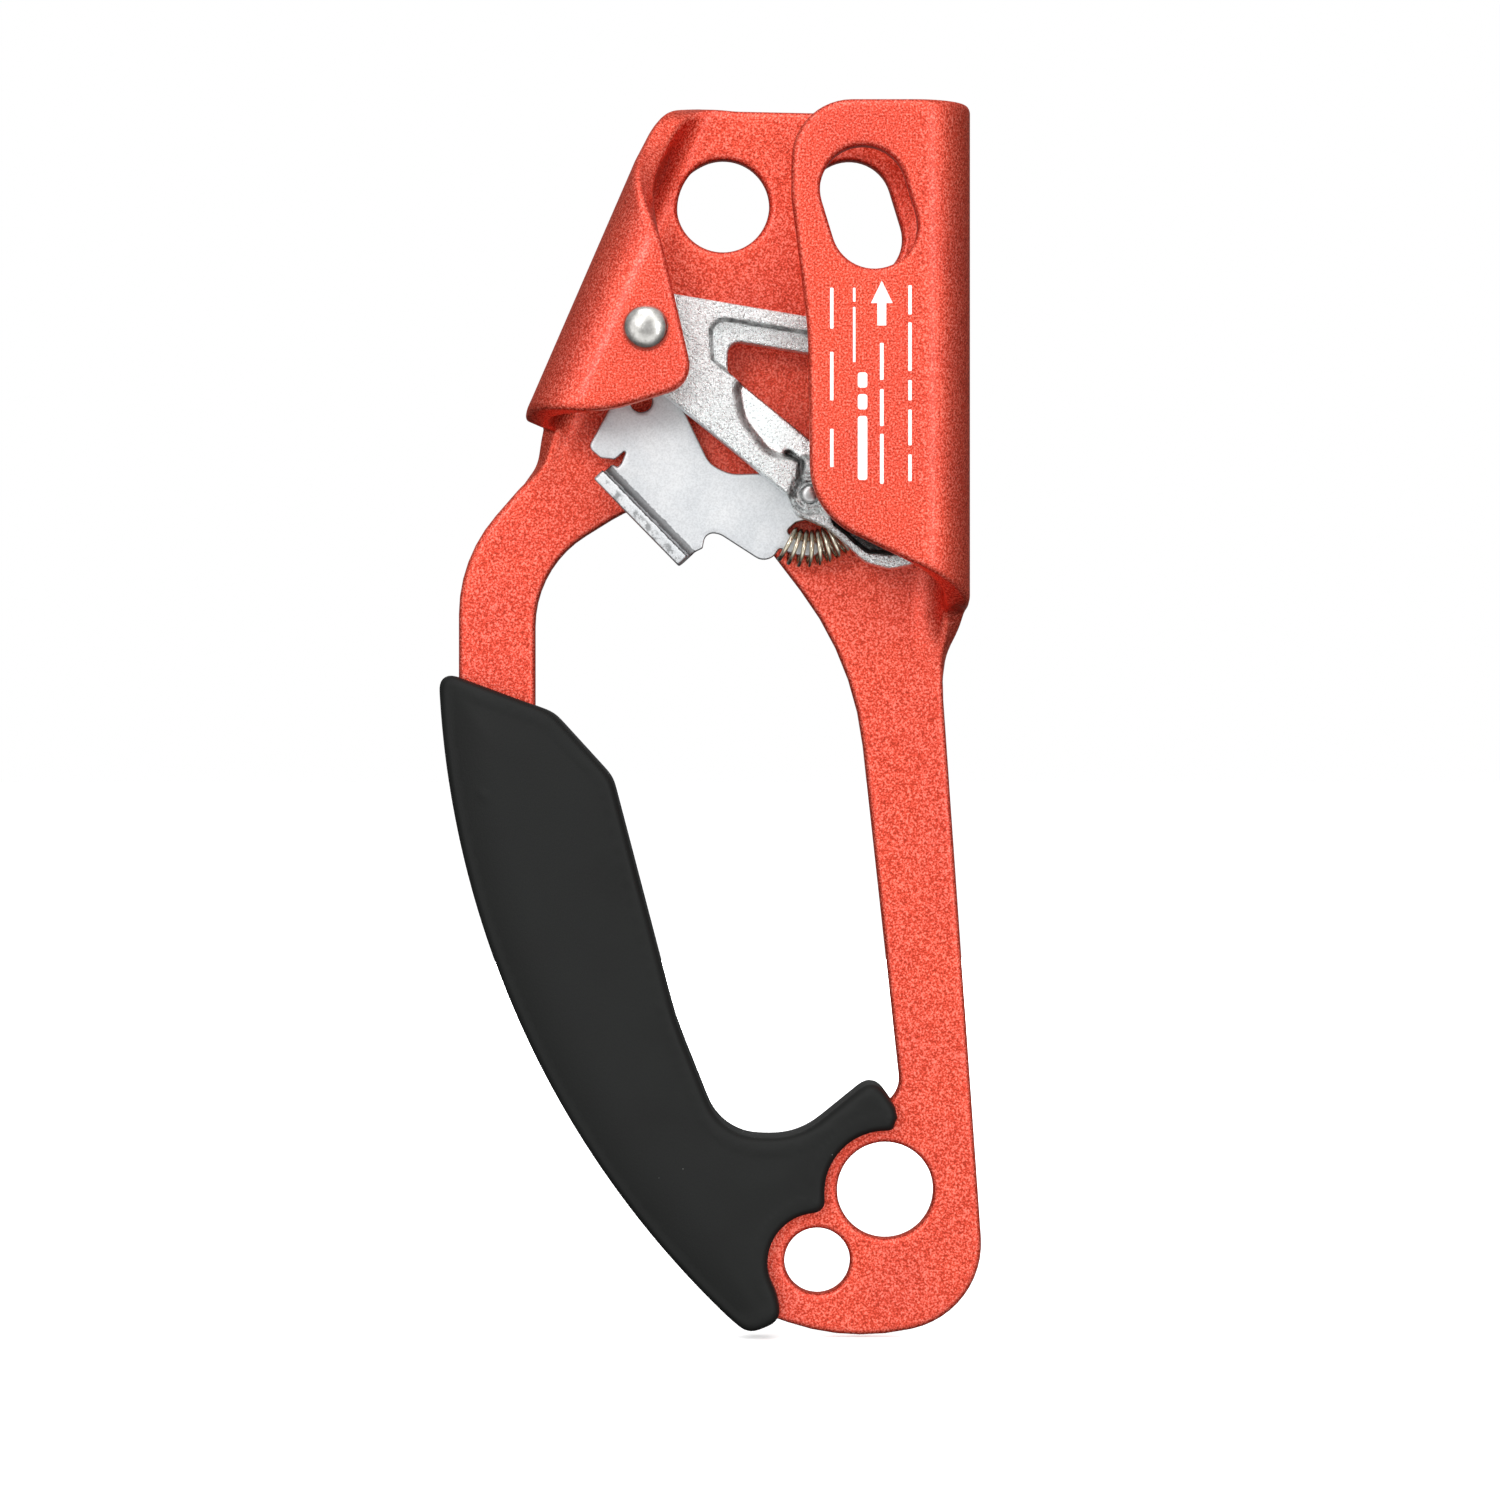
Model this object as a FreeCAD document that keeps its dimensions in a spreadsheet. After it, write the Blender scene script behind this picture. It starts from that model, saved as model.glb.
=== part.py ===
import FreeCAD, Part
import math
import os

from FreeCAD import Placement, Rotation, Vector

# Handled rope ascender. The frame is one bent aluminium sheet: a flat back plate with the hand ring, a rope
# channel folded along its right edge and a cam housing folded along its slanted left edge.
# +Z runs up the rope, +X to the rope channel, and -Y faces the user. The origin is the middle of the large
# lower attachment hole, half way through the sheet. Millimetres.

os.makedirs("parts", exist_ok=True)
doc = FreeCAD.newDocument("Ascender")

DIMENSIONS = {
    "sheet_thick": 4.0,
    "fold_gap": 13.5,
    "fold_bend": 5.0,
    "channel_top": 172.1,
    "plate_top_left": 172.7,
    "channel_side": 13.1,
    "channel_foot": 80.0,
    "channel_flange_reach": 28.4,
    "housing_flange_reach": 24.0,
    "housing_lean": 23.5,
    "housing_foot_x": -57.95,
    "housing_foot_z": 121.9,
    "large_hole_dia": 15.4,
    "small_hole_dia": 10.5,
    "small_hole_x": -10.9,
    "small_hole_z": -11.3,
    "upper_hole_dia": 14.8,
    "upper_hole_x": -26.0,
    "upper_hole_z": 157.6,
    "slot_width": 13.5,
    "slot_centres": 6.0,
    "slot_lean": 17.0,
    "slot_x": -3.1,
    "slot_z": 155.3,
    "rear_slot_shift": 1.8,
    "axle_x": -37.9,
    "axle_z": 136.4,
    "axle_dia": 5.0,
    "axle_head_dia": 7.2,
    "axle_head_high": 2.2,
    "axle_tail_dia": 7.6,
    "axle_tail_high": 1.6,
    "washer_dia": 10.0,
    "washer_thick": 1.0,
    "sleeve_dia": 8.0,
    "thrust_dia": 10.4,
    "thrust_thick": 0.8,
    "running_gap": 0.05,
    "side_gap": 0.3,
    "cam_front": 12.9,
    "cam_rear": 6.9,
    "hub_front": 14.1,
    "hub_dia": 14.4,
    "boss_dia": 10.0,
    "nose_front": 13.3,
    "nose_rear": 4.2,
    "face_wall_gap": 1.2,
    "face_angle": 30.0,
    "tooth_deep": 1.3,
    "catch_thick": 2.0,
    "catch_rear": 4.6,
    "catch_tab_end": 13.2,
    "catch_tab_bend": 1.8,
    "catch_eye_dia": 3.6,
    "catch_eye_x": -39.0,
    "catch_eye_z": 126.0,
    "catch_finger_half": 1.3,
    "catch_finger_start": -46.0,
    "catch_finger_sweep": 56.0,
    "cam_recess_deep": 1.6,
    "cam_pocket_deep": 2.6,
    "cam_tail_deep": 2.9,
    "pivot_x": -12.2,
    "pivot_z": 110.8,
    "pivot_recess_dia": 3.9,
    "pivot_recess_deep": 0.8,
    "pivot_dia": 2.9,
    "pivot_head_dia": 5.6,
    "pivot_head_thick": 1.2,
    "knuckle_dia": 7.8,
    "cam_spring_dia": 12.8,
    "cam_spring_wire": 1.1,
    "catch_spring_dia": 6.2,
    "catch_spring_wire": 0.8,
    "catch_spring_arc": 8.3,
    "catch_spring_from": -28.0,
    "catch_spring_to": 50.0,
    "catch_spring_clear": 0.4,
    "spring_room_front": 9.1,
    "grip_half_thick": 6.5,
    "grip_arc": 149.1,
    "grip_arc_x": 77.6,
    "grip_arc_z": 87.9,
    "grip_large_clear": 9.8,
    "grip_small_clear": 8.0,
}

sheet = doc.addObject("Spreadsheet::Sheet", "Dims")
for row, (alias, number) in enumerate(DIMENSIONS.items(), start=1):
    sheet.set(f"A{row}", alias)
    sheet.set(f"B{row}", str(number))
    sheet.setAlias(f"B{row}", alias)
doc.recompute()


def dim(alias):
    return float(sheet.get(alias))


FRONT = Rotation(Vector(1, 0, 0), 90)   # turns a drawing's own normal to face the user, towards -Y
AXLE = Vector(dim("axle_x"), 0, dim("axle_z"))
PIVOT = Vector(dim("pivot_x"), 0, dim("pivot_z"))
PLATE_FRONT = dim("sheet_thick") / 2
FLANGE_BACK = PLATE_FRONT + dim("fold_gap")
FLANGE_FRONT = FLANGE_BACK + dim("sheet_thick")
FOLD_MIDDLE = PLATE_FRONT + dim("fold_gap") / 2
BEND_OUTSIDE = dim("fold_bend") + dim("sheet_thick")
FAR = 20.0                              # reaches past an edge of the folded sheet


def rounded(corners):
    """Lines and arcs of a closed outline, from corners given as (across, up, radius)."""
    count = len(corners)
    bends = []
    for i, (x, y, radius) in enumerate(corners):
        here = Vector(x, y, 0)
        back = Vector(corners[i - 1][0], corners[i - 1][1], 0) - here
        ahead = Vector(corners[(i + 1) % count][0], corners[(i + 1) % count][1], 0) - here
        back.normalize()
        ahead.normalize()
        if radius == 0:
            bends.append((here, here, None))
            continue
        half = back.getAngle(ahead) / 2
        reach = radius / math.tan(half)
        inward = back + ahead
        inward.normalize()
        middle = here + inward * (radius / math.sin(half) - radius)
        bends.append((here + back * reach, here + ahead * reach, middle))
    edges = []
    for i, (start, end, middle) in enumerate(bends):
        if middle is not None:
            edges.append(Part.Arc(start, middle, end))
        following = bends[(i + 1) % count][0]
        if end.distanceToPoint(following) > 1e-6:
            edges.append(Part.LineSegment(end, following))
    return edges


def drawing(name, corners, placement):
    sketch = doc.addObject("Sketcher::SketchObject", name)
    sketch.Placement = placement
    sketch.addGeometry(rounded(corners), False)
    return sketch


def seen_from_front(name, corners, depth):
    """A drawing in the X-Z plane, at a distance in front of the middle of the back plate."""
    return drawing(name, corners, Placement(Vector(0, -depth, 0), FRONT))


def extruded(name, sketch, direction, length):
    solid = doc.addObject("Part::Extrusion", name)
    solid.Base = sketch
    solid.DirMode = "Custom"
    solid.Dir = direction
    solid.Solid = True
    if isinstance(length, str):
        solid.setExpression("LengthFwd", length)
    else:
        solid.LengthFwd = length
    return solid


def forward(name, corners, depth, length):
    """A solid drawn from the front, from one depth towards the user."""
    return extruded(name, seen_from_front(name + "_outline", corners, depth), Vector(0, -1, 0), length)


def round_bar(name, diameter, length, centre, depth):
    """A cylinder with its axis along Y, from one depth towards the user."""
    bar = doc.addObject("Part::Cylinder", name)
    bar.setExpression("Radius", f"({diameter}) / 2")
    bar.setExpression("Height", str(length))
    bar.Placement = Placement(Vector(centre.x, -depth, centre.z), FRONT)
    return bar


def fused(name, pieces):
    solid = doc.addObject("Part::MultiFuse", name)
    solid.Shapes = pieces
    solid.Refine = True
    return solid


def shared(name, first, second):
    solid = doc.addObject("Part::MultiCommon", name)
    solid.Shapes = [first, second]
    return solid


def cut(name, base, tools):
    tool = tools[0]
    if len(tools) > 1:
        tool = fused(name + "_tools", tools)
    solid = doc.addObject("Part::Cut", name)
    solid.Base = base
    solid.Tool = tool
    solid.Refine = True
    return solid


# ---- frame ------------------------------------------------------------------------------------------------

def lean(across, up):
    """Point of the housing fold, from its foot: across the fold and up along it, seen from the front."""
    angle = math.radians(dim("housing_lean"))
    x = dim("housing_foot_x") + across * math.cos(angle) + up * math.sin(angle)
    z = dim("housing_foot_z") - across * math.sin(angle) + up * math.cos(angle)
    return x, z


def back_plate():
    """Flat sheet between the two folds, with the hand ring below it."""
    right = dim("channel_side") - BEND_OUTSIDE
    climb = (dim("plate_top_left") - lean(BEND_OUTSIDE, 0)[1]) / math.cos(math.radians(dim("housing_lean")))
    outside = [
        (right, dim("channel_top"), 0),
        (*lean(BEND_OUTSIDE, climb), 0),
        (*lean(BEND_OUTSIDE, 2.0), 0),
        (-55.0, 120.6, 0),
        (-55.5, 115.9, 6),
        (-68.3, 101.2, 24),
        (-68.3, 72.0, 60),
        (-58.5, 30.0, 120),
        (-36.0, -7.0, 60),
        (-24.0, -18.3, 20),
        (-6.0, -24.5, 36),
        (16.2, -19.6, 14),
        (9.4, 84.0, 3),
        (right, 93.0, 0),
    ]
    ring = [
        (-56.1, 99.8, 17),
        (-29.2, 116.5, 19),
        (-5.1, 85.0, 50),
        (2.5, 15.6, 4.5),
        (-11.0, 6.6, 12),
        (-31.5, 5.0, 12),
        (-49.0, 36.0, 60),
        (-56.1, 66.0, 40),
    ]
    plate = forward("plate_blank", outside, -PLATE_FRONT, "Dims.sheet_thick")
    opening = forward("hand_opening", ring, -PLATE_FRONT - 1, "Dims.sheet_thick + 2")
    return cut("back_plate", plate, [opening])


def fold_section(reach):
    """Section of a fold: the back plate's edge, the bends and the front flange."""
    inside = dim("fold_bend")
    wall = dim("sheet_thick")
    return [
        (BEND_OUTSIDE + 3, -PLATE_FRONT, 0),
        (0, -PLATE_FRONT, BEND_OUTSIDE),
        (0, FLANGE_FRONT, BEND_OUTSIDE),
        (reach, FLANGE_FRONT, 0),
        (reach, FLANGE_BACK, 0),
        (wall, FLANGE_BACK, inside),
        (wall, PLATE_FRONT, inside),
        (BEND_OUTSIDE + 3, PLATE_FRONT, 0),
    ]


def rope_channel():
    """Right fold, straight up, with the flange in front of the cam's teeth."""
    side = dim("channel_side")
    top = dim("channel_top")
    foot = dim("channel_foot")
    section = [(side - across, -depth, radius)
               for across, depth, radius in fold_section(dim("channel_flange_reach"))]
    start = Placement(Vector(0, 0, foot), Rotation())
    bar = extruded("channel_bar", drawing("channel_section", section, start), Vector(0, 0, 1), top - foot)
    front = [
        (side + FAR, top, 0),
        (-15.2, top, 9.5),
        (-15.2, 157.0, 12),
        (-12.6, 136.0, 40),
        (-12.2, 107.6, 12),
        (5.2, 99.1, 8),
        (side, 92.9, 0),
        (side + FAR, 92.9, 0),
    ]
    rear = [
        (side + FAR, top, 0),
        (-5.0, top, 0),
        (-5.0, 84.0, 0),
        (9.2, 84.0, 0),
        (side, 92.9, 0),
        (side + FAR, 92.9, 0),
    ]
    front_half = shared("channel_front", bar, forward("channel_front_trim", front, FOLD_MIDDLE, FAR))
    rear_half = shared("channel_rear", bar, forward("channel_rear_trim", rear, FOLD_MIDDLE - FAR, FAR))
    return fused("rope_channel", [front_half, rear_half])


def cam_housing():
    """Left fold, leaning, with the flange that holds the front end of the cam's axle."""
    top = dim("plate_top_left")
    section = [(across, -depth, radius)
               for across, depth, radius in fold_section(dim("housing_flange_reach"))]
    tilt = Rotation(Vector(0, 1, 0), dim("housing_lean"))
    start_x, start_z = lean(0, -8)
    start = Placement(Vector(start_x, 0, start_z), tilt)
    axis = tilt.multVec(Vector(0, 0, 1))
    bar = extruded("housing_bar", drawing("housing_section", section, start), axis, top - start_z + FAR)
    foot_x, foot_z = lean(0, 0)
    front = [
        (foot_x - FAR, foot_z - 2.0, 0),
        (foot_x, foot_z, 4),
        (-45.1, 123.0, 20),
        (-30.5, 127.7, 4.5),
        (-33.9, 142.2, 30),
        (-37.2, 158.0, 30),
        (-36.6, top, 0),
        (foot_x - FAR, top, 0),
    ]
    rear = [
        (foot_x - FAR, foot_z, 0),
        (*lean(0, 1.5), 0),
        (*lean(6.0, 1.5), 0),
        (-40.0, 113.0, 0),
        (-20.0, top, 0),
        (foot_x - FAR, top, 0),
    ]
    front_half = shared("housing_front", bar, forward("housing_front_trim", front, FOLD_MIDDLE, FAR))
    rear_half = shared("housing_rear", bar, forward("housing_rear_trim", rear, FOLD_MIDDLE - FAR, FAR))
    # The free edge crosses the fold at 45 degrees, from the back plate's top corner to the flange.
    relief = doc.addObject("Part::Box", "housing_top_relief")
    relief.Length = 2 * FAR
    relief.Width = 3 * FAR
    relief.Height = 3 * FAR
    corner_x, corner_z = lean(-FAR / 2, 54.5)
    relief.Placement = Placement(Vector(corner_x, -3.0, corner_z), tilt.multiply(Rotation(Vector(1, 0, 0), 135)))
    return cut("cam_housing", fused("housing_sheet", [front_half, rear_half]), [relief])


def slot_tool(name, shift, depth):
    """Leaning slot through one wall, for a carabiner round the rope channel."""
    radius = dim("slot_width") / 2
    half = dim("slot_centres") / 2 + radius
    lean_angle = Rotation(Vector(0, 1, 0), -dim("slot_lean"))
    corners = [(-radius, -half, radius), (-radius, half, radius), (radius, half, radius), (radius, -half, radius)]
    place = Placement(Vector(dim("slot_x") - shift, -depth, dim("slot_z")), lean_angle.multiply(FRONT))
    return extruded(name, drawing(name + "_outline", corners, place), Vector(0, -1, 0), "Dims.sheet_thick + 4")


def frame():
    through = "Dims.sheet_thick + 2"
    body = fused("bent_sheet", [back_plate(), rope_channel(), cam_housing()])
    upper = Vector(dim("upper_hole_x"), 0, dim("upper_hole_z"))
    small = Vector(dim("small_hole_x"), 0, dim("small_hole_z"))
    rear = -PLATE_FRONT - 1
    holes = [
        round_bar("large_hole", "Dims.large_hole_dia", through, Vector(0, 0, 0), rear),
        round_bar("small_hole", "Dims.small_hole_dia", through, small, rear),
        round_bar("upper_hole", "Dims.upper_hole_dia", through, upper, rear),
        round_bar("axle_hole", "Dims.axle_dia", 40, AXLE, rear),
        slot_tool("front_slot", 0, FLANGE_BACK - 2),
        slot_tool("rear_slot", dim("rear_slot_shift"), -PLATE_FRONT - 2),
    ]
    return cut("frame", body, holes)


# ---- rubber grip ------------------------------------------------------------------------------------------

def handle_grip():
    """Rubber moulded round the left arm of the ring, with a tongue that reaches between the holes."""
    centre = Vector(dim("grip_arc_x"), dim("grip_arc_z"), 0)
    radius = dim("grip_arc")

    def on_arc(height):
        return centre.x - math.sqrt(radius ** 2 - (height - centre.y) ** 2)

    top = Vector(on_arc(80.4), 80.4, 0)
    middle = Vector(on_arc(27.0), 27.0, 0)
    heel = Vector(on_arc(-20.0), -20.0, 0)
    corners = [
        (on_arc(83.3), 83.3, 1.8),
        (-53.2, 76.6, 5),
        (-43.7, 66.2, 5),
        (-33.6, 27.6, 45),
        (-26.2, 8.9, 9),
        (-14.0, 8.6, 12),
        (-2.1, 18.6, 2.8),
        (3.6, 11.4, 2.8),
        (-4.0, 2.0, 3),
        (-13.0, -12.0, 0),
        (-16.4, -20.2, 2.8),
        (-21.8, -22.9, 2.8),
    ]
    # The long outer side is one arc, so the other corners are drawn as an open run between its ends.
    edges = rounded([(top.x, top.y, 0)] + corners + [(heel.x, heel.y, 0)])
    edges[-1] = Part.Arc(heel, middle, top)
    sketch = doc.addObject("Sketcher::SketchObject", "grip_outline")
    sketch.Placement = Placement(Vector(0, dim("grip_half_thick"), 0), FRONT)
    sketch.addGeometry(edges, False)
    block = extruded("grip_block", sketch, Vector(0, -1, 0), "2 * Dims.grip_half_thick")
    deep = "2 * Dims.grip_half_thick + 2"
    rear = -dim("grip_half_thick") - 1
    small = Vector(dim("small_hole_x"), 0, dim("small_hole_z"))
    return cut("handle_grip", block, [
        round_bar("grip_large_clear", "2 * Dims.grip_large_clear", deep, Vector(0, 0, 0), rear),
        round_bar("grip_small_clear", "2 * Dims.grip_small_clear", deep, small, rear),
        doc.getObject("back_plate"),
    ])


# ---- axle of the cam --------------------------------------------------------------------------------------

def turned(name, profile, centre):
    """A piece turned about an axis along Y, from its half section as (radius, distance in front)."""
    points = [Vector(radius, -depth, 0) for radius, depth in profile]
    wire = Part.makePolygon(points + [points[0]])
    piece = doc.addObject("Part::Feature", name)
    piece.Shape = Part.Face(wire).revolve(Vector(0, 0, 0), Vector(0, 1, 0), 360)
    piece.Placement = Placement(centre, Rotation())
    return piece


def dome(radius, start, height, steps=8):
    """Half section of a domed head, as (radius, distance in front), from its rim to its top."""
    angles = [math.pi / 2 * i / steps for i in range(steps + 1)]
    return [(radius * math.cos(a), start + height * math.sin(a)) for a in angles]


def cam_axle():
    """Domed rivet through the flange, the sleeve and the back plate, its tail set over the washer."""
    shank = dim("axle_dia") / 2
    seat = -PLATE_FRONT - dim("washer_thick")
    head = dome(dim("axle_head_dia") / 2, FLANGE_FRONT, dim("axle_head_high"))
    tail = dome(dim("axle_tail_dia") / 2, seat, -dim("axle_tail_high"))
    return turned("cam_axle", [(shank, seat), (shank, FLANGE_FRONT)] + head + tail[::-1], AXLE)


def ring(name, outer, inner, centre, depth, length):
    rim = round_bar(name + "_rim", outer, length, centre, depth)
    bore = round_bar(name + "_bore", inner, f"({length}) + 2", centre, depth - 1)
    return cut(name, rim, [bore])


def cam_axle_washer():
    depth = -PLATE_FRONT - dim("washer_thick")
    return ring("cam_axle_washer", "Dims.washer_dia", "Dims.axle_dia", AXLE, depth, "Dims.washer_thick")


def cam_sleeve():
    """Spacer tube on the rivet: it keeps the two walls apart and the cam turns on it."""
    length = "Dims.fold_gap - 2 * Dims.running_gap"
    return ring("cam_sleeve", "Dims.sleeve_dia", "Dims.axle_dia + 2 * Dims.running_gap", AXLE,
                PLATE_FRONT + dim("running_gap"), length)


def cam_thrust_washers():
    """One thin washer on the sleeve at each wall."""
    bore = "Dims.sleeve_dia + 2 * Dims.running_gap"
    gap = dim("side_gap")
    rear = ring("thrust_rear", "Dims.thrust_dia", bore, AXLE, PLATE_FRONT + gap, "Dims.thrust_thick")
    front = ring("thrust_front", "Dims.thrust_dia", bore, AXLE, FLANGE_BACK - gap - dim("thrust_thick"),
                 "Dims.thrust_thick")
    pair = doc.addObject("Part::Compound", "cam_thrust_washers")
    pair.Links = [rear, front]
    return pair


def cam_spring():
    """Outer shape of the torsion spring that lies on the sleeve behind the cam."""
    start = PLATE_FRONT + dim("thrust_thick") + 2 * dim("side_gap") + 0.05
    length = dim("cam_rear") - dim("side_gap") - start
    return ring("cam_spring", "Dims.cam_spring_dia", "Dims.cam_spring_dia - 2 * 1.4 * Dims.cam_spring_wire",
                AXLE, start, str(length))


# ---- cam --------------------------------------------------------------------------------------------------

def face_point(angle, inset=0.0):
    """Point of the toothed face: a spiral that leans on the rope at the same angle however far it opens."""
    contact = math.radians(dim("face_angle"))
    wall = dim("channel_side") - dim("sheet_thick") - dim("face_wall_gap")
    radius = (wall - AXLE.x) / math.cos(contact)
    radius *= math.exp(math.tan(contact) * (math.radians(angle) - contact))
    radius -= inset
    below = math.radians(angle)
    return AXLE.x + radius * math.cos(below), AXLE.z - radius * math.sin(below)


def toothed_face(first, last, teeth):
    """Saw teeth along the face, each with its point down, from the top of the nose to its tail."""
    pitch = (last - first) / teeth
    points = []
    for i in range(teeth):
        points.append((*face_point(first + i * pitch, dim("tooth_deep")), 0))
        points.append((*face_point(first + (i + 0.85) * pitch), 0))
    points.append((*face_point(last, dim("tooth_deep")), 0))
    return points


FACE_TOP = -0.5
FACE_END = 36.5
TEETH = 14


def cam():
    """Cast cam: hub, two arms round a window, toothed nose, and the knuckle that carries the catch."""
    body_thick = "Dims.cam_front - Dims.cam_rear"
    face = toothed_face(FACE_TOP, FACE_END, TEETH)
    arms = [
        (-35.6, 142.7, 0),
        *face,
        (6.2, 100.2, 1.5),
        (0.6, 99.0, 3),
        (-2.6, 99.5, 2),
        (-9.2, 105.4, 2),
        (-14.7, 108.8, 0),
        (-38.5, 129.2, 0),
    ]
    nose = [
        (-4.6, 137.2, 0),
        *face,
        (6.2, 100.2, 1.5),
        (2.4, 99.4, 2),
        (0.4, 106.0, 5),
        (1.6, 114.0, 5),
        (-4.6, 128.0, 6),
    ]
    window = [
        (-25.4, 135.6, 1.6),
        (-4.9, 132.2, 2.5),
        (-3.3, 112.0, 2.5),
        (-25.4, 130.1, 0.8),
    ]
    recess = [
        (-28.0, 138.3, 2.2),
        (-2.4, 134.0, 2.5),
        (-1.4, 120.0, 2.5),
        (-22.0, 127.4, 0),
        (-27.8, 132.2, 0),
    ]
    pocket = [
        (-23.4, 130.5, 0),
        (-23.0, 122.0, 3),
        (-18.6, 116.4, 3),
        (-9.0, 116.6, 1),
        (-9.0, 121.0, 0),
    ]
    tail = [
        (-9.2, 107.0, 0.8),
        (-3.2, 101.8, 1.5),
        (3.0, 101.4, 1.5),
        (3.0, 108.0, 2),
        (-4.5, 110.0, 2),
    ]
    front = dim("cam_front")
    reach = dim("catch_spring_arc") + dim("catch_spring_dia") / 2 + dim("catch_spring_clear")
    solid = fused("cam_casting", [
        forward("cam_arms", arms, dim("cam_rear"), body_thick),
        forward("cam_nose", nose, dim("nose_rear"), "Dims.nose_front - Dims.nose_rear"),
        round_bar("cam_hub", "Dims.hub_dia", body_thick, AXLE, dim("cam_rear")),
        round_bar("cam_boss", "Dims.boss_dia", "Dims.hub_front - Dims.cam_rear", AXLE, dim("cam_rear")),
        round_bar("cam_knuckle", "Dims.knuckle_dia", body_thick, PIVOT, dim("cam_rear")),
    ])
    # Behind the tail the casting is bored away for the spring, up to the seat of the spring's far end.
    room_depth = dim("cam_rear") - 1
    room_length = dim("spring_room_front") - room_depth
    room_start = -60.0
    sector = round_bar("spring_room_sector", str(2 * reach), room_length, PIVOT, room_depth)
    sector.Angle = dim("catch_spring_to") - room_start + 0.5
    sector.Placement.Rotation = FRONT.multiply(Rotation(Vector(0, 0, 1), room_start - 90))
    core = round_bar("spring_room_core", "Dims.knuckle_dia + 1.6", room_length + 2, PIVOT, room_depth - 1)
    spring_room = cut("cam_spring_room", sector, [core])
    return cut("cam", solid, [
        forward("cam_window", window, dim("nose_rear") - 1, 20.0),
        forward("cam_recess", recess, front - dim("cam_recess_deep"), 6.0),
        forward("cam_pocket", pocket, front - dim("cam_pocket_deep"), 6.0),
        forward("cam_tail_pocket", tail, front - dim("cam_tail_deep"), 6.0),
        round_bar("cam_bore", "Dims.sleeve_dia + 2 * Dims.running_gap", 20, AXLE, dim("cam_rear") - 2),
        round_bar("cam_pivot_bore", "Dims.pivot_dia", 20, PIVOT, dim("cam_rear") - 2),
        round_bar("cam_pivot_recess", "Dims.pivot_recess_dia", 4, PIVOT, front - dim("pivot_recess_deep")),
        spring_room,
    ])


# ---- catch ------------------------------------------------------------------------------------------------

def catch():
    """Pressed safety catch: a flat lever on the cam's knuckle, with a thumb tab folded to the front."""
    rear = dim("catch_rear")
    plate = [
        (-42.6, 127.6, 2.2),
        (-47.4, 118.6, 1.2),
        (-45.4, 116.9, 0.9),
        (-42.7, 116.4, 0),
        (-41.3, 118.1, 0),
        (-41.9, 117.0, 0),
        (-42.9, 115.2, 0),
        (-29.9, 101.9, 0.8),
        (-28.7, 105.2, 1.5),
        (-26.4, 104.8, 3),
        (-18.8, 99.9, 2.4),
        (-15.9, 105.6, 2),
        (-14.4, 106.7, 0),
        (-8.8, 108.1, 3.0),
        (-8.2, 115.0, 3.4),
        (-24.8, 114.3, 6),
        (-28.1, 116.0, 4),
        (-33.8, 128.0, 1.5),
        (-38.2, 129.0, 3),
    ]
    # The tab's strip runs along the bend line and is square to the plate.
    bend_start = Vector(-43.6, 0, 115.9)
    bend_end = Vector(-30.2, 0, 102.2)
    along = bend_end - bend_start
    length = along.Length
    along.normalize()
    inward = Vector(-along.z, 0, along.x)
    bend = dim("catch_tab_bend")
    outside_bend = dim("catch_thick") + bend
    front = rear + dim("catch_thick")
    section = [
        (0.6, -rear, 0),
        (-outside_bend, -rear, outside_bend),
        (-outside_bend, -dim("catch_tab_end"), 0),
        (-bend, -dim("catch_tab_end"), 0),
        (-bend, -front, bend),
        (0.6, -front, 0),
    ]
    across_bend = Placement(bend_start, Rotation(inward, Vector(0, 1, 0), along * -1, "XYZ"))
    tab = extruded("catch_tab", drawing("tab_section", section, across_bend), along, length)
    # The finger is an arc inside the spring's coils, round the pivot.
    near = dim("catch_spring_arc") - dim("catch_finger_half")
    far = dim("catch_spring_arc") + dim("catch_finger_half")
    strip = [Vector(near, -rear, 0), Vector(far, -rear, 0), Vector(far, -front, 0), Vector(near, -front, 0)]
    blade = Part.Face(Part.makePolygon(strip + [strip[0]]))
    finger = doc.addObject("Part::Feature", "catch_finger")
    finger.Shape = blade.revolve(Vector(0, 0, 0), Vector(0, 1, 0), -dim("catch_finger_sweep"))
    finger.Placement = Placement(PIVOT, Rotation(Vector(0, 1, 0), 90 - dim("catch_finger_start")))
    lever = fused("catch_blank", [
        forward("catch_plate", plate, rear, "Dims.catch_thick"),
        tab,
        finger,
    ])
    eye = Vector(dim("catch_eye_x"), 0, dim("catch_eye_z"))
    return cut("catch", lever, [
        round_bar("catch_bore", "Dims.pivot_dia + 2 * Dims.running_gap", 10, PIVOT, rear - 4),
        round_bar("catch_eye", "Dims.catch_eye_dia", 10, eye, rear - 4),
    ])


def catch_rivet():
    """Small rivet of the catch: a flat head behind the lever, its end set in the knuckle's recess."""
    shank = dim("pivot_dia") / 2
    head = dim("pivot_head_dia") / 2
    face = dim("catch_rear") - dim("side_gap")
    back = face - dim("pivot_head_thick")
    end = dim("cam_front") - 0.2
    return turned("catch_rivet", [(0, back), (head, back), (head, face), (shank, face), (shank, end - 0.4),
                                  (shank - 0.4, end), (0, end)], PIVOT)


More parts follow.
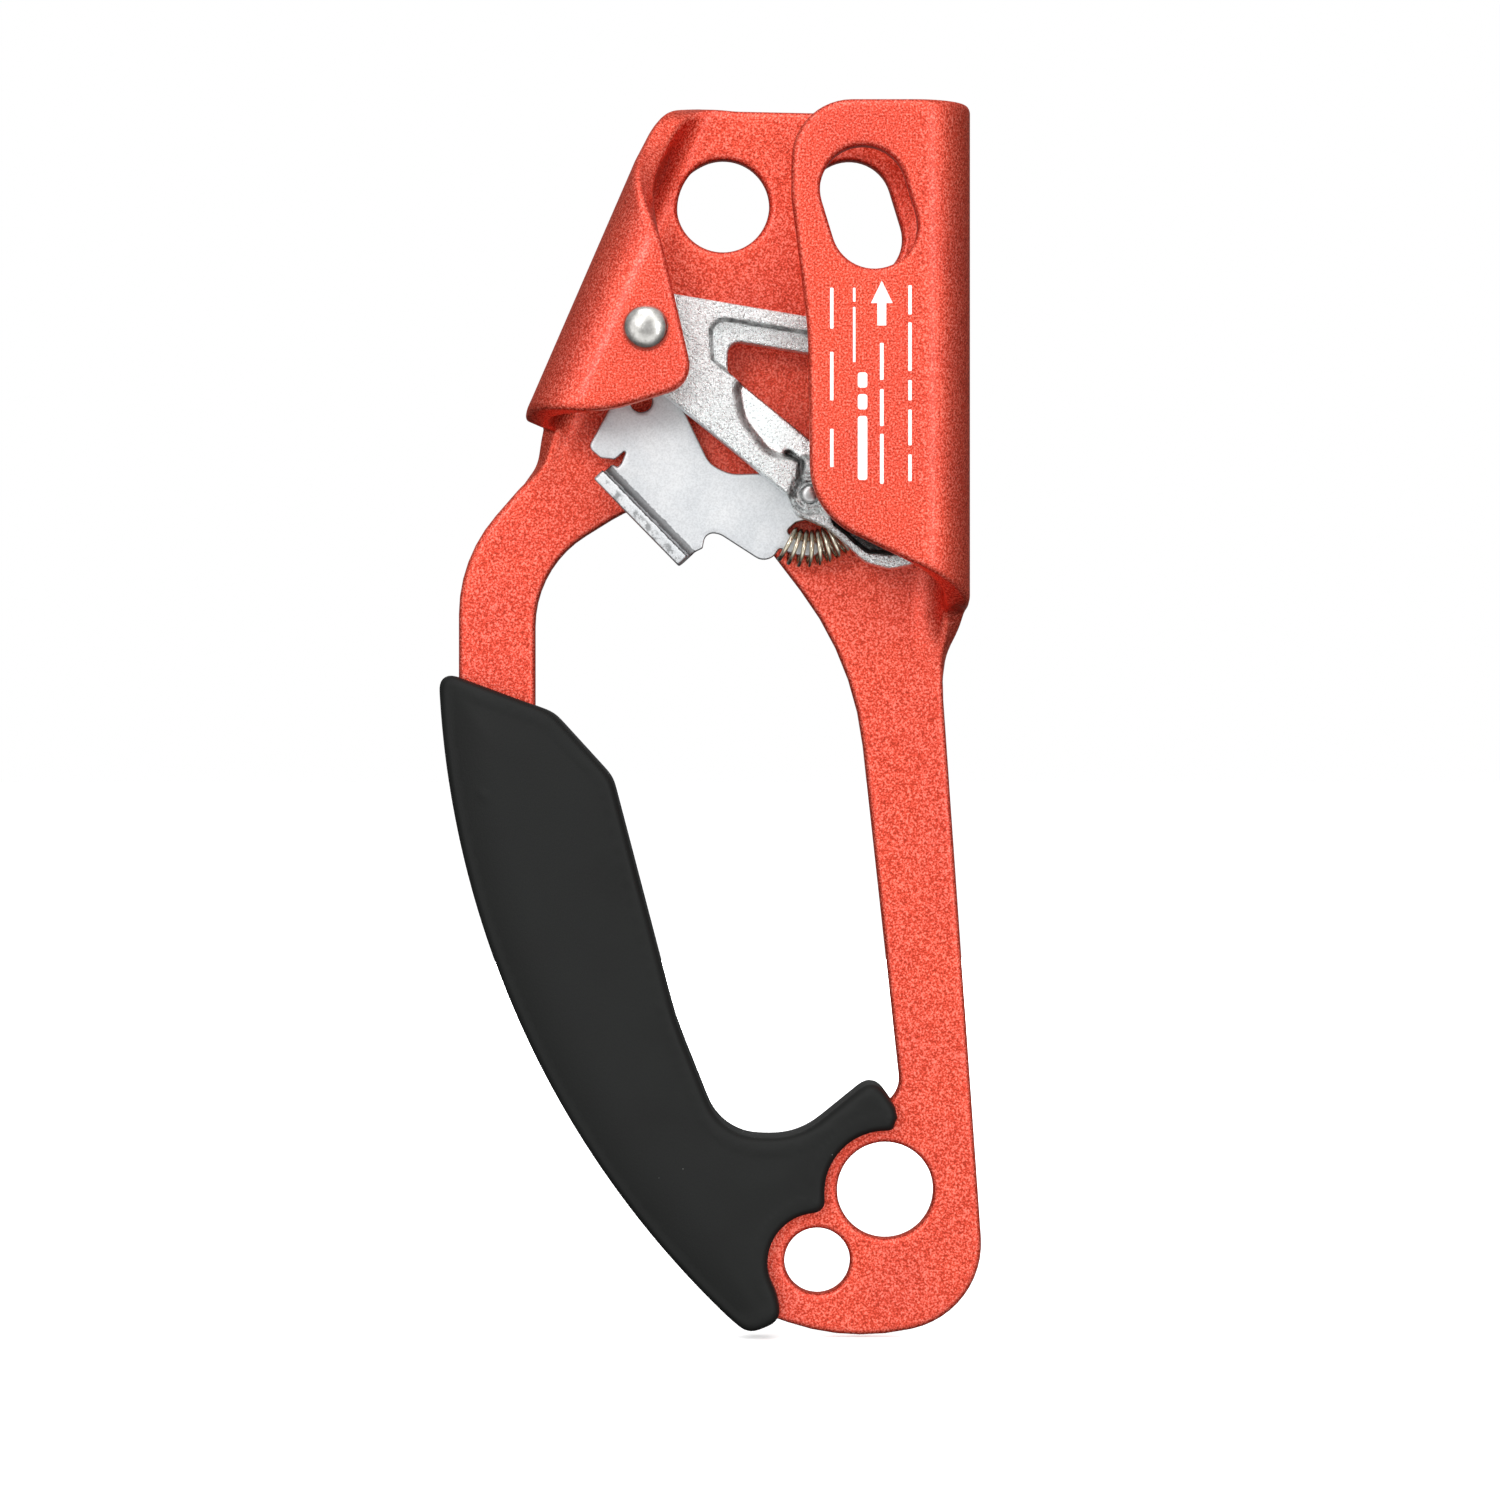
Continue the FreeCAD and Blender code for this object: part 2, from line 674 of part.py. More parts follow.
def catch_spring():
    """Outer shape of the curved spring between the catch's lobe and the cam's tail."""
    start = dim("catch_spring_from")
    arc = dim("catch_spring_to") - start
    depth = dim("catch_rear") + dim("catch_thick") / 2
    pieces = []
    for name, radius in (("coil_outside", "Dims.catch_spring_dia / 2"),
                         ("coil_inside", "Dims.catch_spring_dia / 2 - Dims.catch_spring_wire")):
        torus = doc.addObject("Part::Torus", name)
        torus.setExpression("Radius1", "Dims.catch_spring_arc")
        torus.setExpression("Radius2", radius)
        torus.Angle3 = arc
        # Angles run from straight down towards the rope channel.
        torus.Placement = Placement(Vector(PIVOT.x, -depth, PIVOT.z),
                                    FRONT.multiply(Rotation(Vector(0, 0, 1), start - 90)))
        pieces.append(torus)
    return cut("catch_spring", pieces[0], pieces[1:])


SUBPARTS = [
    frame(),
    handle_grip(),
    cam_axle(),
    cam_axle_washer(),
    cam_sleeve(),
    cam_thrust_washers(),
    cam_spring(),
    cam(),
    catch(),
    catch_rivet(),
    catch_spring(),
]

doc.recompute()
for item in doc.Objects:
    if "Invalid" in item.State or "Error" in item.State:
        raise RuntimeError(f"{item.Name}: {item.State}")
for piece in SUBPARTS:
    piece.Label = piece.Name
    if piece.Shape.isNull() or not piece.Shape.isValid():
        raise RuntimeError(f"{piece.Name} has no valid shape")
for piece in SUBPARTS:
    piece.Shape.exportStep(f"parts/{piece.Name}.step")
    box = piece.Shape.BoundBox
    print(f"{piece.Name:20s} solids {len(piece.Shape.Solids)} volume {piece.Shape.Volume:9.1f}"
          f"  X {box.XMin:7.2f} {box.XMax:7.2f}  Y {box.YMin:7.2f} {box.YMax:7.2f}  Z {box.ZMin:7.2f} {box.ZMax:7.2f}")
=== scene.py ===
import math

import bpy
import numpy as np
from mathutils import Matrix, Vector, noise
from mathutils.geometry import delaunay_2d_cdt


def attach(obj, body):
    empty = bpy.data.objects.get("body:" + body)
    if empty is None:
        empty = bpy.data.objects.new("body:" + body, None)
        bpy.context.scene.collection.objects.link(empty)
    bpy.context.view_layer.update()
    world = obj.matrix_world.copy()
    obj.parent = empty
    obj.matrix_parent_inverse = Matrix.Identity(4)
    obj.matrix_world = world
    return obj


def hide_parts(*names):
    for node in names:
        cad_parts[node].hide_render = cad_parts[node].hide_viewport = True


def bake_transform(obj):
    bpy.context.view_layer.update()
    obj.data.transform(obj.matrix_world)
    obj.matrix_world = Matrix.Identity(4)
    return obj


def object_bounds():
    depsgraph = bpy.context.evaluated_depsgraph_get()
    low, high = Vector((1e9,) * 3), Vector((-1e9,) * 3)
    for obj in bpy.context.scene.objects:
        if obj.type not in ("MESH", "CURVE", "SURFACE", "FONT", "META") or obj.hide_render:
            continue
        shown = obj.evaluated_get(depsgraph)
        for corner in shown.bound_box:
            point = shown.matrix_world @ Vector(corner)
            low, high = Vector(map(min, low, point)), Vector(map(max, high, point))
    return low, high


# Looks of a handled rope ascender. Lengths are millimetres unless said otherwise. A place is (x, z) as seen
# from the front, and its depth is how far it lies towards the user (-Y), from the middle of the back plate.
# An outline's corners are (x, z, radius). add_piece turns a piece into metres when it makes the mesh.

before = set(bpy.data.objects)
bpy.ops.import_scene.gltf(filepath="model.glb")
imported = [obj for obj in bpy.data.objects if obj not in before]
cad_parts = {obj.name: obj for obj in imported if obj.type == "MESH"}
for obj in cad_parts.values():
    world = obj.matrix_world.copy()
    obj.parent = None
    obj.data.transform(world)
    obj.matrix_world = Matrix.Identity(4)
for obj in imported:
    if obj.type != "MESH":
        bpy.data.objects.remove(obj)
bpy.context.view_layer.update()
MM = 0.001

# ---- driving dimensions ----

SHEET = 4.0  # the frame's sheet thickness
HALF = SHEET / 2
MIDDLE_RADIUS = 7.0  # of a fold, half way through the sheet
QUARTER = MIDDLE_RADIUS * math.pi / 2
WEB = 3.5  # flat between the two bends of a fold
FOLD = 2 * QUARTER + WEB  # length of blank that a whole fold takes up
FLANGE_FRONT = 19.5  # depth of the outer face of a folded flange
CHANNEL_SIDE = 13.1  # x of the rope channel's outer side
CHANNEL_BEND = 4.1  # x where the rope channel's fold starts
CHANNEL_CURL = (80.0, 93.0)  # z over which the channel's fold closes, from its foot up
HOUSING_BEND = 9.0  # where the cam housing's fold starts, across from its outer side
LEAN_DEGREES = 23.5  # of the cam housing, from upright
LEAN = math.radians(LEAN_DEGREES)
FOOT = np.array([-57.95, 121.9])  # foot of the housing's outer side
ACROSS = np.array([math.cos(LEAN), -math.sin(LEAN)])
UP = np.array([math.sin(LEAN), math.cos(LEAN)])
HOUSING_CURL = (-9.0, -0.8)  # the heights over which the housing's fold closes, along UP from FOOT

AXLE = (-37.9, 136.4)  # the cam's axle
PIVOT = (-12.2, 110.8)  # the catch's rivet
AXLE_RADIUS = 2.5
PIVOT_RADIUS = 1.45
LARGE_HOLE = (0.0, 0.0)
LARGE_RADIUS = 7.7
SMALL_HOLE = (-10.9, -11.3)
SMALL_RADIUS = 5.25
UPPER_HOLE = (-26.0, 157.6)
UPPER_RADIUS = 7.4
SLOT = np.array([-3.1, 155.3])
SLOT_RADIUS = 6.75
SLOT_HALF = 3.0  # half the distance between the centres of its two ends
SLOT_LEAN = 17.0
REAR_SLOT_SHIFT = 1.8

# ---- outlines ----


def unit(vectors):
    return vectors / np.linalg.norm(vectors, axis=-1, keepdims=True)


def arc(centre, radius, start, end, step=0.6):
    """Points of an arc, its angles in degrees, anticlockwise from +x if end is the larger."""
    count = max(2, math.ceil(abs(math.radians(end - start)) * radius / step))
    angles = np.radians(np.linspace(start, end, count + 1))
    return np.stack([centre[0] + radius * np.cos(angles), centre[1] + radius * np.sin(angles)], 1)


def circle(centre, radius, count=72):
    return arc(centre, radius, 0, 360 * (1 - 1 / count), 2 * math.pi * radius / count)


def corner_run(corners, closed=True, turn=7.0):
    """Points of an outline through rounded corners, each (x, z, radius)."""
    spots = np.array(corners, float)
    points = []
    for i, (x, z, radius) in enumerate(spots):
        here = np.array([x, z])
        at_end = not closed and i in (0, len(spots) - 1)
        if radius == 0 or at_end:
            points.append(here)
            continue
        back = unit(spots[i - 1, :2] - here)
        ahead = unit(spots[(i + 1) % len(spots), :2] - here)
        half = math.acos(np.clip(back @ ahead, -1, 1)) / 2
        middle = here + unit(back + ahead) * radius / math.sin(half)
        start = here + back * radius / math.tan(half) - middle
        end = here + ahead * radius / math.tan(half) - middle
        first = math.atan2(start[1], start[0])
        sweep = (math.atan2(end[1], end[0]) - first + math.pi) % (2 * math.pi) - math.pi
        count = max(2, math.ceil(abs(math.degrees(sweep)) / turn))
        for angle in first + sweep * np.linspace(0, 1, count + 1):
            points.append(middle + radius * np.array([math.cos(angle), math.sin(angle)]))
    return np.array(points)


def rounded_box(left, right, bottom, top, radius):
    return corner_run([(left, bottom, radius), (right, bottom, radius), (right, top, radius),
                       (left, top, radius)])


def resampled(points, step):
    """The closed outline again, with points about a step apart."""
    ring = np.vstack([points, points[:1]])
    run = np.concatenate([[0], np.cumsum(np.linalg.norm(np.diff(ring, axis=0), axis=1))])
    keep = np.concatenate([[True], np.diff(run) > 1e-6])
    at = np.linspace(0, run[-1], max(8, round(run[-1] / step)) + 1)[:-1]
    return np.stack([np.interp(at, run[keep], ring[keep, i]) for i in range(2)], 1)


def softened(points, step, times):
    """Resampled, then each point drawn between its neighbours, so corners turn round."""
    points = resampled(points, step)
    for _ in range(times):
        points = (np.roll(points, 1, 0) + 2 * points + np.roll(points, -1, 0)) / 4
    return points


def filled(points, step):
    """The same outline with long runs divided."""
    made = []
    for here, ahead in zip(points, np.roll(points, -1, 0)):
        length = np.linalg.norm(ahead - here)
        if length < 1e-4:
            continue
        for share in np.arange(math.ceil(length / step)) / math.ceil(length / step):
            made.append(here + (ahead - here) * share)
    return np.array(made)


def turned_to(points, left):
    """The outline with its material on the left: outsides anticlockwise, holes clockwise."""
    x, z = points.T
    area = np.sum(x * np.roll(z, -1) - np.roll(x, -1) * z)
    return points if (area > 0) == left else points[::-1]


def inset(points, distance):
    """The outline moved into its material, with the reach of sharp corners held back."""
    ahead = unit(np.roll(points, -1, 0) - points)
    normal = np.stack([-ahead[:, 1], ahead[:, 0]], 1)
    both = normal + np.roll(normal, 1, 0)
    return points + both / np.maximum((both ** 2).sum(1, keepdims=True) / 2, 0.35) * distance


def insets(ring, distances, step=0.1):
    """The outline at several distances into the material, eased at each step so it never crosses itself."""
    made, reached = [], 0.0
    for distance in distances:
        while reached < distance - 1e-9:
            move = min(step, distance - reached)
            ring = inset(ring, move)
            ring = 0.7 * ring + 0.15 * (np.roll(ring, 1, 0) + np.roll(ring, -1, 0))
            reached += move
        made.append(ring)
    return made


def inside(points, loops):
    """Which points lie inside an odd number of the outlines."""
    hit = np.zeros(len(points), bool)
    for ring in loops:
        ahead = np.roll(ring, -1, 0)
        x, z = points[:, None, 0], points[:, None, 1]
        crosses = (ring[:, 1] > z) != (ahead[:, 1] > z)
        rise = np.where(crosses, ahead[:, 1] - ring[:, 1], 1.0)
        at = ring[:, 0] + (z - ring[:, 1]) * (ahead[:, 0] - ring[:, 0]) / rise
        hit ^= ((x < at) & crosses).sum(1) % 2 == 1
    return hit


def distance_to(points, run, closed=True):
    """How far each point is from an outline or an open run of points."""
    start = run if closed else run[:-1]
    step = (np.roll(run, -1, 0) if closed else run[1:]) - start
    size = np.maximum((step ** 2).sum(1), 1e-12)
    found = []
    for part in np.array_split(points, max(1, len(points) // 1500)):
        away = part[:, None] - start
        share = np.clip((away * step).sum(2) / size, 0, 1)
        found.append(np.linalg.norm(away - share[..., None] * step, axis=2).min(1))
    return np.concatenate(found)


def eased(values, low, high):
    """0 below low, 1 above high, and a smooth step between."""
    share = np.clip((values - low) / (high - low), 0, 1)
    return share * share * (3 - 2 * share)


def within(points, ring, width):
    """1 inside an outline and 0 outside it, with a smooth wall of that width."""
    signed = distance_to(points, ring) * np.where(inside(points, [ring]), 1, -1)
    return eased(signed, -width / 2, width / 2)


# ---- meshes ----


def add_object(name, data):
    made = bpy.data.objects.new(name, data)
    bpy.context.scene.collection.objects.link(made)
    return made


def add_piece(name, points, faces, body, material, slot, nodes=()):
    """A smooth-shaded piece from points in millimetres, riding on a body unless it is to be blended."""
    data = bpy.data.meshes.new(name)
    data.from_pydata((np.asarray(points) * MM).tolist(), [], faces)
    data.validate()
    data.shade_smooth()
    piece = add_object(name, data)
    data.materials.append(material)
    if body:
        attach(piece, body)
    if nodes:
        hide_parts(*nodes)
    return piece


def square_grid(low, high, spacing, angle=0.0):
    """Points of a grid over a box, its rows turned by an angle."""
    middle = (low + high) / 2
    reach = np.linalg.norm(high - low) / 2
    steps = np.arange(-reach, reach, spacing)
    across, up = np.meshgrid(steps, steps)
    across, up = across.ravel(), up.ravel()
    turn = math.radians(angle)
    return np.stack([middle[0] + across * math.cos(turn) + up * math.sin(turn),
                     middle[1] - across * math.sin(turn) + up * math.cos(turn)], 1)


def slab(outside, holes, spacing, front, rear, place, rim, rim_steps, grids=None):
    """Points and faces of a plate with rounded edges. front and rear give the depth of its two faces at
    points of its plan, and place(plan, depth) puts both into the frame. rim is how far the rounding reaches
    across the plate and into its depth, and grids are the points inside it if one even grid won't do."""
    across, deep = rim
    loops = [turned_to(outside, True)] + [turned_to(hole, False) for hole in holes]
    angles = np.linspace(0, math.pi / 2, rim_steps + 1)
    ladders = [insets(ring, across * (1 - np.cos(angles))) for ring in loops]
    inner = [ladder[-1] for ladder in ladders]
    low, high = np.vstack(loops).min(0), np.vstack(loops).max(0)
    seeds = grids if grids is not None else square_grid(low, high, spacing)
    seeds = seeds[inside(seeds, inner)]
    edges = []
    first = 0
    for ring in inner:
        seeds = seeds[distance_to(seeds, ring) > spacing * 0.6]
        count = len(ring)
        edges += [(first + i, first + (i + 1) % count) for i in range(count)]
        first += count
    plan = np.vstack(inner + [seeds])
    _, _, triangles, origins, _, _ = delaunay_2d_cdt([Vector(p) for p in plan], edges, [], 1, 1e-7)
    name_of = [ids[0] for ids in origins]
    triangles = np.array([[name_of[i] for i in t] for t in triangles])
    triangles = triangles[inside(plan[triangles].mean(1), inner)]

    points = [place(plan, front(plan)), place(plan, rear(plan))]
    count = len(plan)
    faces = triangles.tolist() + (triangles[:, ::-1] + count).tolist()
    total = 2 * count
    first = 0
    for ladder in ladders:
        size = len(ladder[0])
        near, far = front(plan[first:first + size]), rear(plan[first:first + size])
        rings = [np.arange(first, first + size)]
        walls = list(zip(ladder[:-1], deep * (1 - np.sin(angles))))
        levels = [(ring, near - fall) for ring, fall in walls[::-1]]
        levels += [(ring, far + fall) for ring, fall in walls]
        for ring, depth in levels:
            points.append(place(ring, depth))
            rings.append(np.arange(total, total + size))
            total += size
        rings.append(np.arange(count + first, count + first + size))
        for a, b in zip(rings, rings[1:]):
            faces += np.stack([a, b, np.roll(b, -1), np.roll(a, -1)], 1).tolist()
        first += size
    return np.vstack(points), faces


def even(depth):
    """A flat face, for slab."""
    return lambda plan: np.full(len(plan), depth)


def upright(plan, depth):
    """Places of an unbent plate, for slab."""
    return np.stack([plan[:, 0], -depth, plan[:, 1]], 1)


def lathe(profile, centre, count=64, closed=False):
    """A piece turned about an axis along Y, from (radius, depth) points running from its front middle, or
    round the closed section of a ring."""
    points, faces = [], []
    angles = np.linspace(0, 2 * math.pi, count, endpoint=False)
    rings = []
    for radius, depth in profile:
        if radius == 0:
            rings.append([len(points)] * count)
            points.append((centre[0], -depth, centre[1]))
            continue
        rings.append(list(range(len(points), len(points) + count)))
        points += [(centre[0] + radius * math.cos(a), -depth, centre[1] + radius * math.sin(a))
                   for a in angles]
    for near, far in zip(rings, rings[1:] + rings[:1] * closed):
        for i in range(count):
            j = (i + 1) % count
            corners = [near[i], far[i], far[j], near[j]]
            faces.append([c for k, c in enumerate(corners) if c != corners[k - 1]])
    return points, faces


def bands(rings, sides):
    """Faces between each ring of points and the next."""
    faces = []
    for k in range(rings - 1):
        for s in range(sides):
            t = (s + 1) % sides
            faces.append((k * sides + s, k * sides + t, (k + 1) * sides + t, (k + 1) * sides + s))
    return faces


def tube(path, radius, sides=10):
    """A round wire along a path of points, with rounded ends."""
    path = np.asarray(path, float)
    along = unit(np.gradient(path, axis=0))
    side = unit(np.cross(along[0], [0.31, 0.9, 0.17]))
    points = []
    count = len(path)
    # Rings along the wire: which point of the path, how far past it in radii, and how wide in radii.
    ends = [(0, -0.9, 0.45), (0, -0.6, 0.8)] + [(i, 0.0, 1.0) for i in range(count)]
    ends += [(count - 1, 0.6, 0.8), (count - 1, 0.9, 0.45)]
    for i, push, scale in ends:
        side = unit(side - along[i] * (side @ along[i]))
        other = np.cross(along[i], side)
        middle = path[i] + along[i] * push * radius
        for a in np.linspace(0, 2 * math.pi, sides, endpoint=False):
            points.append(middle + (side * math.cos(a) + other * math.sin(a)) * radius * scale)
    last = (len(ends) - 1) * sides
    caps = [list(range(sides))[::-1], list(range(last, last + sides))]
    return points, bands(len(ends), sides) + caps


def joined(parts):
    """Several (points, faces) pairs as one."""
    points, faces, total = [], [], 0
    for some, theirs in parts:
        points.append(np.asarray(some, float))
        faces += [[total + i for i in face] for face in theirs]
        total += len(some)
    return np.vstack(points), faces


# ---- materials ----

TAB_START = np.array([-43.6, 115.9])  # line where the catch's tab starts to bend
TAB_END = np.array([-30.2, 102.2])
TAB_ALONG = unit(TAB_END - TAB_START)
TAB_OUT = np.array([TAB_ALONG[1], -TAB_ALONG[0]])


class Nodes:
    """Short ways to add and link the nodes of one material or world."""

    def __init__(self, owner):
        owner.use_nodes = True
        self.owner = owner
        self.tree = owner.node_tree
        self.coordinates = self.add("ShaderNodeTexCoord").outputs
        self.place = self.coordinates["Object"]

    def add(self, kind, inputs=None, **settings):
        node = self.tree.nodes.new(kind)
        for key, value in settings.items():
            setattr(node, key, value)
        for key, value in (inputs or {}).items():
            self.put(node.inputs[key], value)
        return node

    def put(self, socket, value):
        if isinstance(value, bpy.types.NodeSocket):
            self.tree.links.new(value, socket)
        else:
            socket.default_value = value

    def noise(self, size, detail=2.0, rough=0.5):
        """Noise with features about size millimetres across."""
        inputs = {"Vector": self.place, "Scale": 1 / (size * MM), "Detail": detail, "Roughness": rough}
        return self.add("ShaderNodeTexNoise", inputs).outputs["Fac"]

    def ramp(self, value, stops):
        """Colours by value, from (value, colour) stops."""
        node = self.add("ShaderNodeValToRGB", {"Fac": value})
        elements = node.color_ramp.elements
        while len(elements) < len(stops):
            elements.new(0.5)
        for element, (at, colour) in zip(elements, stops):
            element.position = at
            element.color = (*colour, 1)
        return node.outputs["Color"]

    def range(self, value, low, high, to_low, to_high, shape="LINEAR"):
        inputs = {"Value": value, "From Min": low, "From Max": high, "To Min": to_low, "To Max": to_high}
        return self.add("ShaderNodeMapRange", inputs, interpolation_type=shape).outputs["Result"]

    def mix(self, share, first, second, blend="MIX"):
        node = self.add("ShaderNodeMix", data_type="RGBA", blend_type=blend)
        self.put(node.inputs[0], share)
        self.put(node.inputs[6], first)
        self.put(node.inputs[7], second)
        return node.outputs[2]

    def maths(self, first, second, operation="ADD"):
        node = self.add("ShaderNodeMath", operation=operation)
        self.put(node.inputs[0], first)
        self.put(node.inputs[1], second)
        return node.outputs[0]

    def bump(self, height, distance):
        node = self.add("ShaderNodeBump", {"Height": height, "Distance": distance * MM})
        self.set({"Normal": node.outputs["Normal"]})

    def set(self, values):
        """Gives the material's shader its inputs by name."""
        for key, value in values.items():
            self.put(self.tree.nodes["Principled BSDF"].inputs[key], value)


WHITE = (1, 1, 1, 1)


def grey(level):
    return (level, level, level)


def material(name):
    return Nodes(bpy.data.materials.new(name))


def finished(n, colour, metallic, rough, **more):
    """The material with its shader set. In more, the names of inputs have underscores for spaces."""
    n.set({"Base Color": colour, "Metallic": metallic, "Roughness": rough})
    n.set({key.replace("_", " "): value for key, value in more.items()})
    return n.owner


def anodised_red():
    """Bead-blasted aluminium, dyed red: a fine sparkling grain under a satin skin."""
    n = material("anodised_red")
    grain = n.noise(0.30, 1.0, 0.6)
    cloud = n.noise(14.0, 3.0, 0.55)
    pit, dye, sparkle = (0.46, 0.036, 0.016), (0.82, 0.080, 0.042), (1.0, 0.25, 0.18)
    base = n.ramp(grain, [(0.32, pit), (0.50, dye), (0.68, sparkle)])
    tint = n.ramp(cloud, [(0.35, (0.92, 0.90, 0.95)), (0.65, (1.0, 1.0, 0.98))])
    colour = n.mix(1.0, base, tint, "MULTIPLY")
    n.bump(grain, 0.060)
    orange_sheen = (1.0, 0.42, 0.26, 1)
    return finished(n, colour, 0.88, n.range(grain, 0.3, 0.7, 0.42, 0.52), Specular_Tint=orange_sheen,
                    Coat_Weight=0.32, Coat_Roughness=0.20)


def rubber():
    """Moulded black rubber, matte, with a few specks of dust."""
    n = material("grip_rubber")
    fine = n.noise(0.5, 3.0, 0.6)
    soft = n.noise(9.0, 2.0)
    base = n.ramp(soft, [(0.3, (0.0040, 0.0045, 0.0041)), (0.7, (0.0066, 0.0075, 0.0069))])
    cells = n.add("ShaderNodeTexVoronoi", {"Vector": n.place, "Scale": 1 / (3.4 * MM), "Randomness": 1.0})
    speck = n.range(cells.outputs["Distance"], 0.020, 0.032, 1.0, 0.0)
    rare = n.range(n.noise(6.0, 1.0), 0.50, 0.56, 0.0, 1.0)
    dust = n.maths(speck, rare, "MULTIPLY")
    dusty = (0.30, 0.31, 0.29, 1)
    colour = n.mix(dust, base, dusty)
    n.bump(fine, 0.03)
    return finished(n, colour, 0.0, n.range(soft, 0.3, 0.7, 0.50, 0.60), Specular_IOR_Level=0.24)


def cast_steel():
    """Investment-cast, plated steel: bright, with a pebbled grain. Its scooped pocket is smoother. Painted
    shade darkens its steep walls in patches and its scooped pocket a little, and paints its tail hollow and
    notch nearly black; the casting's mesh says where those are."""
    n = material("cast_steel")
    pebble = n.noise(0.60, 3.0, 0.6)
    fine = n.noise(0.22, 2.0)
    steep, scooped, painted_hollow_shade = (n.add("ShaderNodeAttribute", attribute_name=name).outputs["Fac"]
                             for name in ("steep", "scooped", "painted_hollow_shade"))
    specks = n.ramp(n.noise(0.38, 1.0), [(0.34, grey(0.60)), (0.42, grey(0.93)), (0.60, grey(1.0))])
    plating = n.ramp(n.noise(3.0, 3.0), [(0.3, (0.88, 0.93, 0.93)), (0.7, (0.95, 1.0, 1.0))])
    base = n.mix(1.0, plating, specks, "MULTIPLY")
    # Painted shade: the scooped pocket is darkened a little in colour.
    base = n.mix(1.0, base, n.mix(scooped, WHITE, (0.84, 0.84, 0.84, 1)), "MULTIPLY")
    # Painted shade: the steep walls of the recesses, found from the mesh's slope, are darkened in patches
    # towards near black.
    painted_wall_shade = n.range(steep, 0.5, 1.9, 0.0, 0.85)
    in_patches = n.range(n.noise(1.4, 3.0), 0.35, 0.65, 0.45, 1.0)
    wall_shade_colour, hollow_shade_colour = (0.06, 0.057, 0.054, 1), (0.03, 0.028, 0.027, 1)
    base = n.mix(n.maths(painted_wall_shade, in_patches, "MULTIPLY"), base, wall_shade_colour)
    # Painted shade: the tail hollow and the notch by the knuckle are coloured nearly black.
    base = n.mix(n.maths(painted_hollow_shade, 0.85, "MULTIPLY"), base, hollow_shade_colour)
    grain = n.maths(n.maths(pebble, fine), n.range(scooped, 0.0, 1.0, 1.0, 0.3), "MULTIPLY")
    n.bump(grain, 0.30)
    return finished(n, base, 1.0, n.range(fine, 0.3, 0.7, 0.24, 0.36))


def tooth_steel():
    """Hardened teeth, a little darker than the casting."""
    n = material("tooth_steel")
    fine = n.noise(0.4, 3.0, 0.6)
    base = n.ramp(fine, [(0.3, grey(0.42)), (0.7, grey(0.62))])
    n.bump(fine, 0.03)
    return finished(n, base, 1.0, n.range(fine, 0.3, 0.7, 0.26, 0.36))


def zinc_sheet():
    """Pressed sheet with a pale satin zinc skin; painted shade darkens the inside of the tab's bend."""
    n = material("zinc_sheet")
    split = n.add("ShaderNodeSeparateXYZ", {"Vector": n.place})

    def along(direction):
        """Millimetres past the start of the bend line in a direction of the sheet."""
        start = TAB_START @ direction
        east = n.maths(split.outputs["X"], direction[0] / MM, "MULTIPLY")
        north = n.maths(split.outputs["Z"], direction[1] / MM, "MULTIPLY")
        return n.maths(n.maths(east, north), start, "SUBTRACT")

    band_jitter = n.noise(0.8, 3.0, 0.6)
    past = n.maths(along(TAB_OUT), n.range(band_jitter, 0.3, 0.7, -0.12, 0.12))
    ramp_length = 4.0
    across = n.maths(past, ramp_length, "DIVIDE")
    # Painted shade: a dark grey band across the inside of the tab's bend and a dark line just before its end
    # face; the end face itself gets a rough smear.
    fillet_shade = n.ramp(across, [(0.03, grey(1.0)), (0.07, grey(0.32)), (0.34, grey(0.27)), (0.37, grey(1.0)),
                             (0.42, grey(0.9))])
    end_face_shade_and_smear = n.ramp(across, [(0.45, grey(0.14)), (0.48, grey(0.16)), (0.51, grey(1.0))])
    smear = n.ramp(n.noise(1.6, 4.0, 0.75), [(0.40, grey(0.30)), (0.50, grey(0.95))])
    end_face_shade_and_smear = n.mix(n.range(past, 2.2, 2.6, 0.0, 0.8), end_face_shade_and_smear, smear)
    forward = n.maths(split.outputs["Y"], -1 / MM, "MULTIPLY")
    bend = n.mix(n.range(forward, 12.4, 12.7, 0.0, 1.0), fillet_shade, end_face_shade_and_smear)
    within_width = n.range(along(TAB_ALONG), -0.6, -0.2, 0.0, 1.0)
    on_tab = n.maths(within_width, n.range(forward, 5.9, 6.1, 0.0, 1.0), "MULTIPLY")
    bend = n.mix(on_tab, WHITE, bend)
    fine = n.noise(0.28, 2.0, 0.6)
    cloud = n.noise(5.0, 4.0, 0.6)
    base = n.ramp(cloud, [(0.3, (0.66, 0.68, 0.70)), (0.7, (0.75, 0.76, 0.77))])
    shade = n.ramp(fine, [(0.35, grey(0.86)), (0.6, grey(1.0))])
    colour = n.mix(1.0, n.mix(1.0, base, shade, "MULTIPLY"), bend, "MULTIPLY")
    n.bump(fine, 0.018)
    return finished(n, colour, 0.95, n.range(cloud, 0.3, 0.7, 0.42, 0.48))


def burnished(name, dark, light, rough, grain, lift):
    """Plain worn metal between two tints. grain is the size of its fine marks and lift their height."""
    n = material(name)
    fine = n.noise(grain, 3.0, 0.6)
    cloud = n.noise(grain * 8, 3.0, 0.6)
    base = n.ramp(n.mix(0.5, fine, cloud), [(0.3, dark), (0.7, light)])
    n.bump(fine, lift)
    return finished(n, base, 1.0, n.range(cloud, 0.3, 0.7, rough, rough + 0.12))


def mark_white():
    """Laser marks: bare metal, bleached white."""
    n = material("mark_white")
    fine = n.noise(0.3, 2.0)
    base = n.ramp(fine, [(0.3, (0.88, 0.84, 0.82)), (0.6, (1.0, 0.98, 0.96))])
    n.bump(fine, 0.01)
    return finished(n, base, 0.8, 0.5)


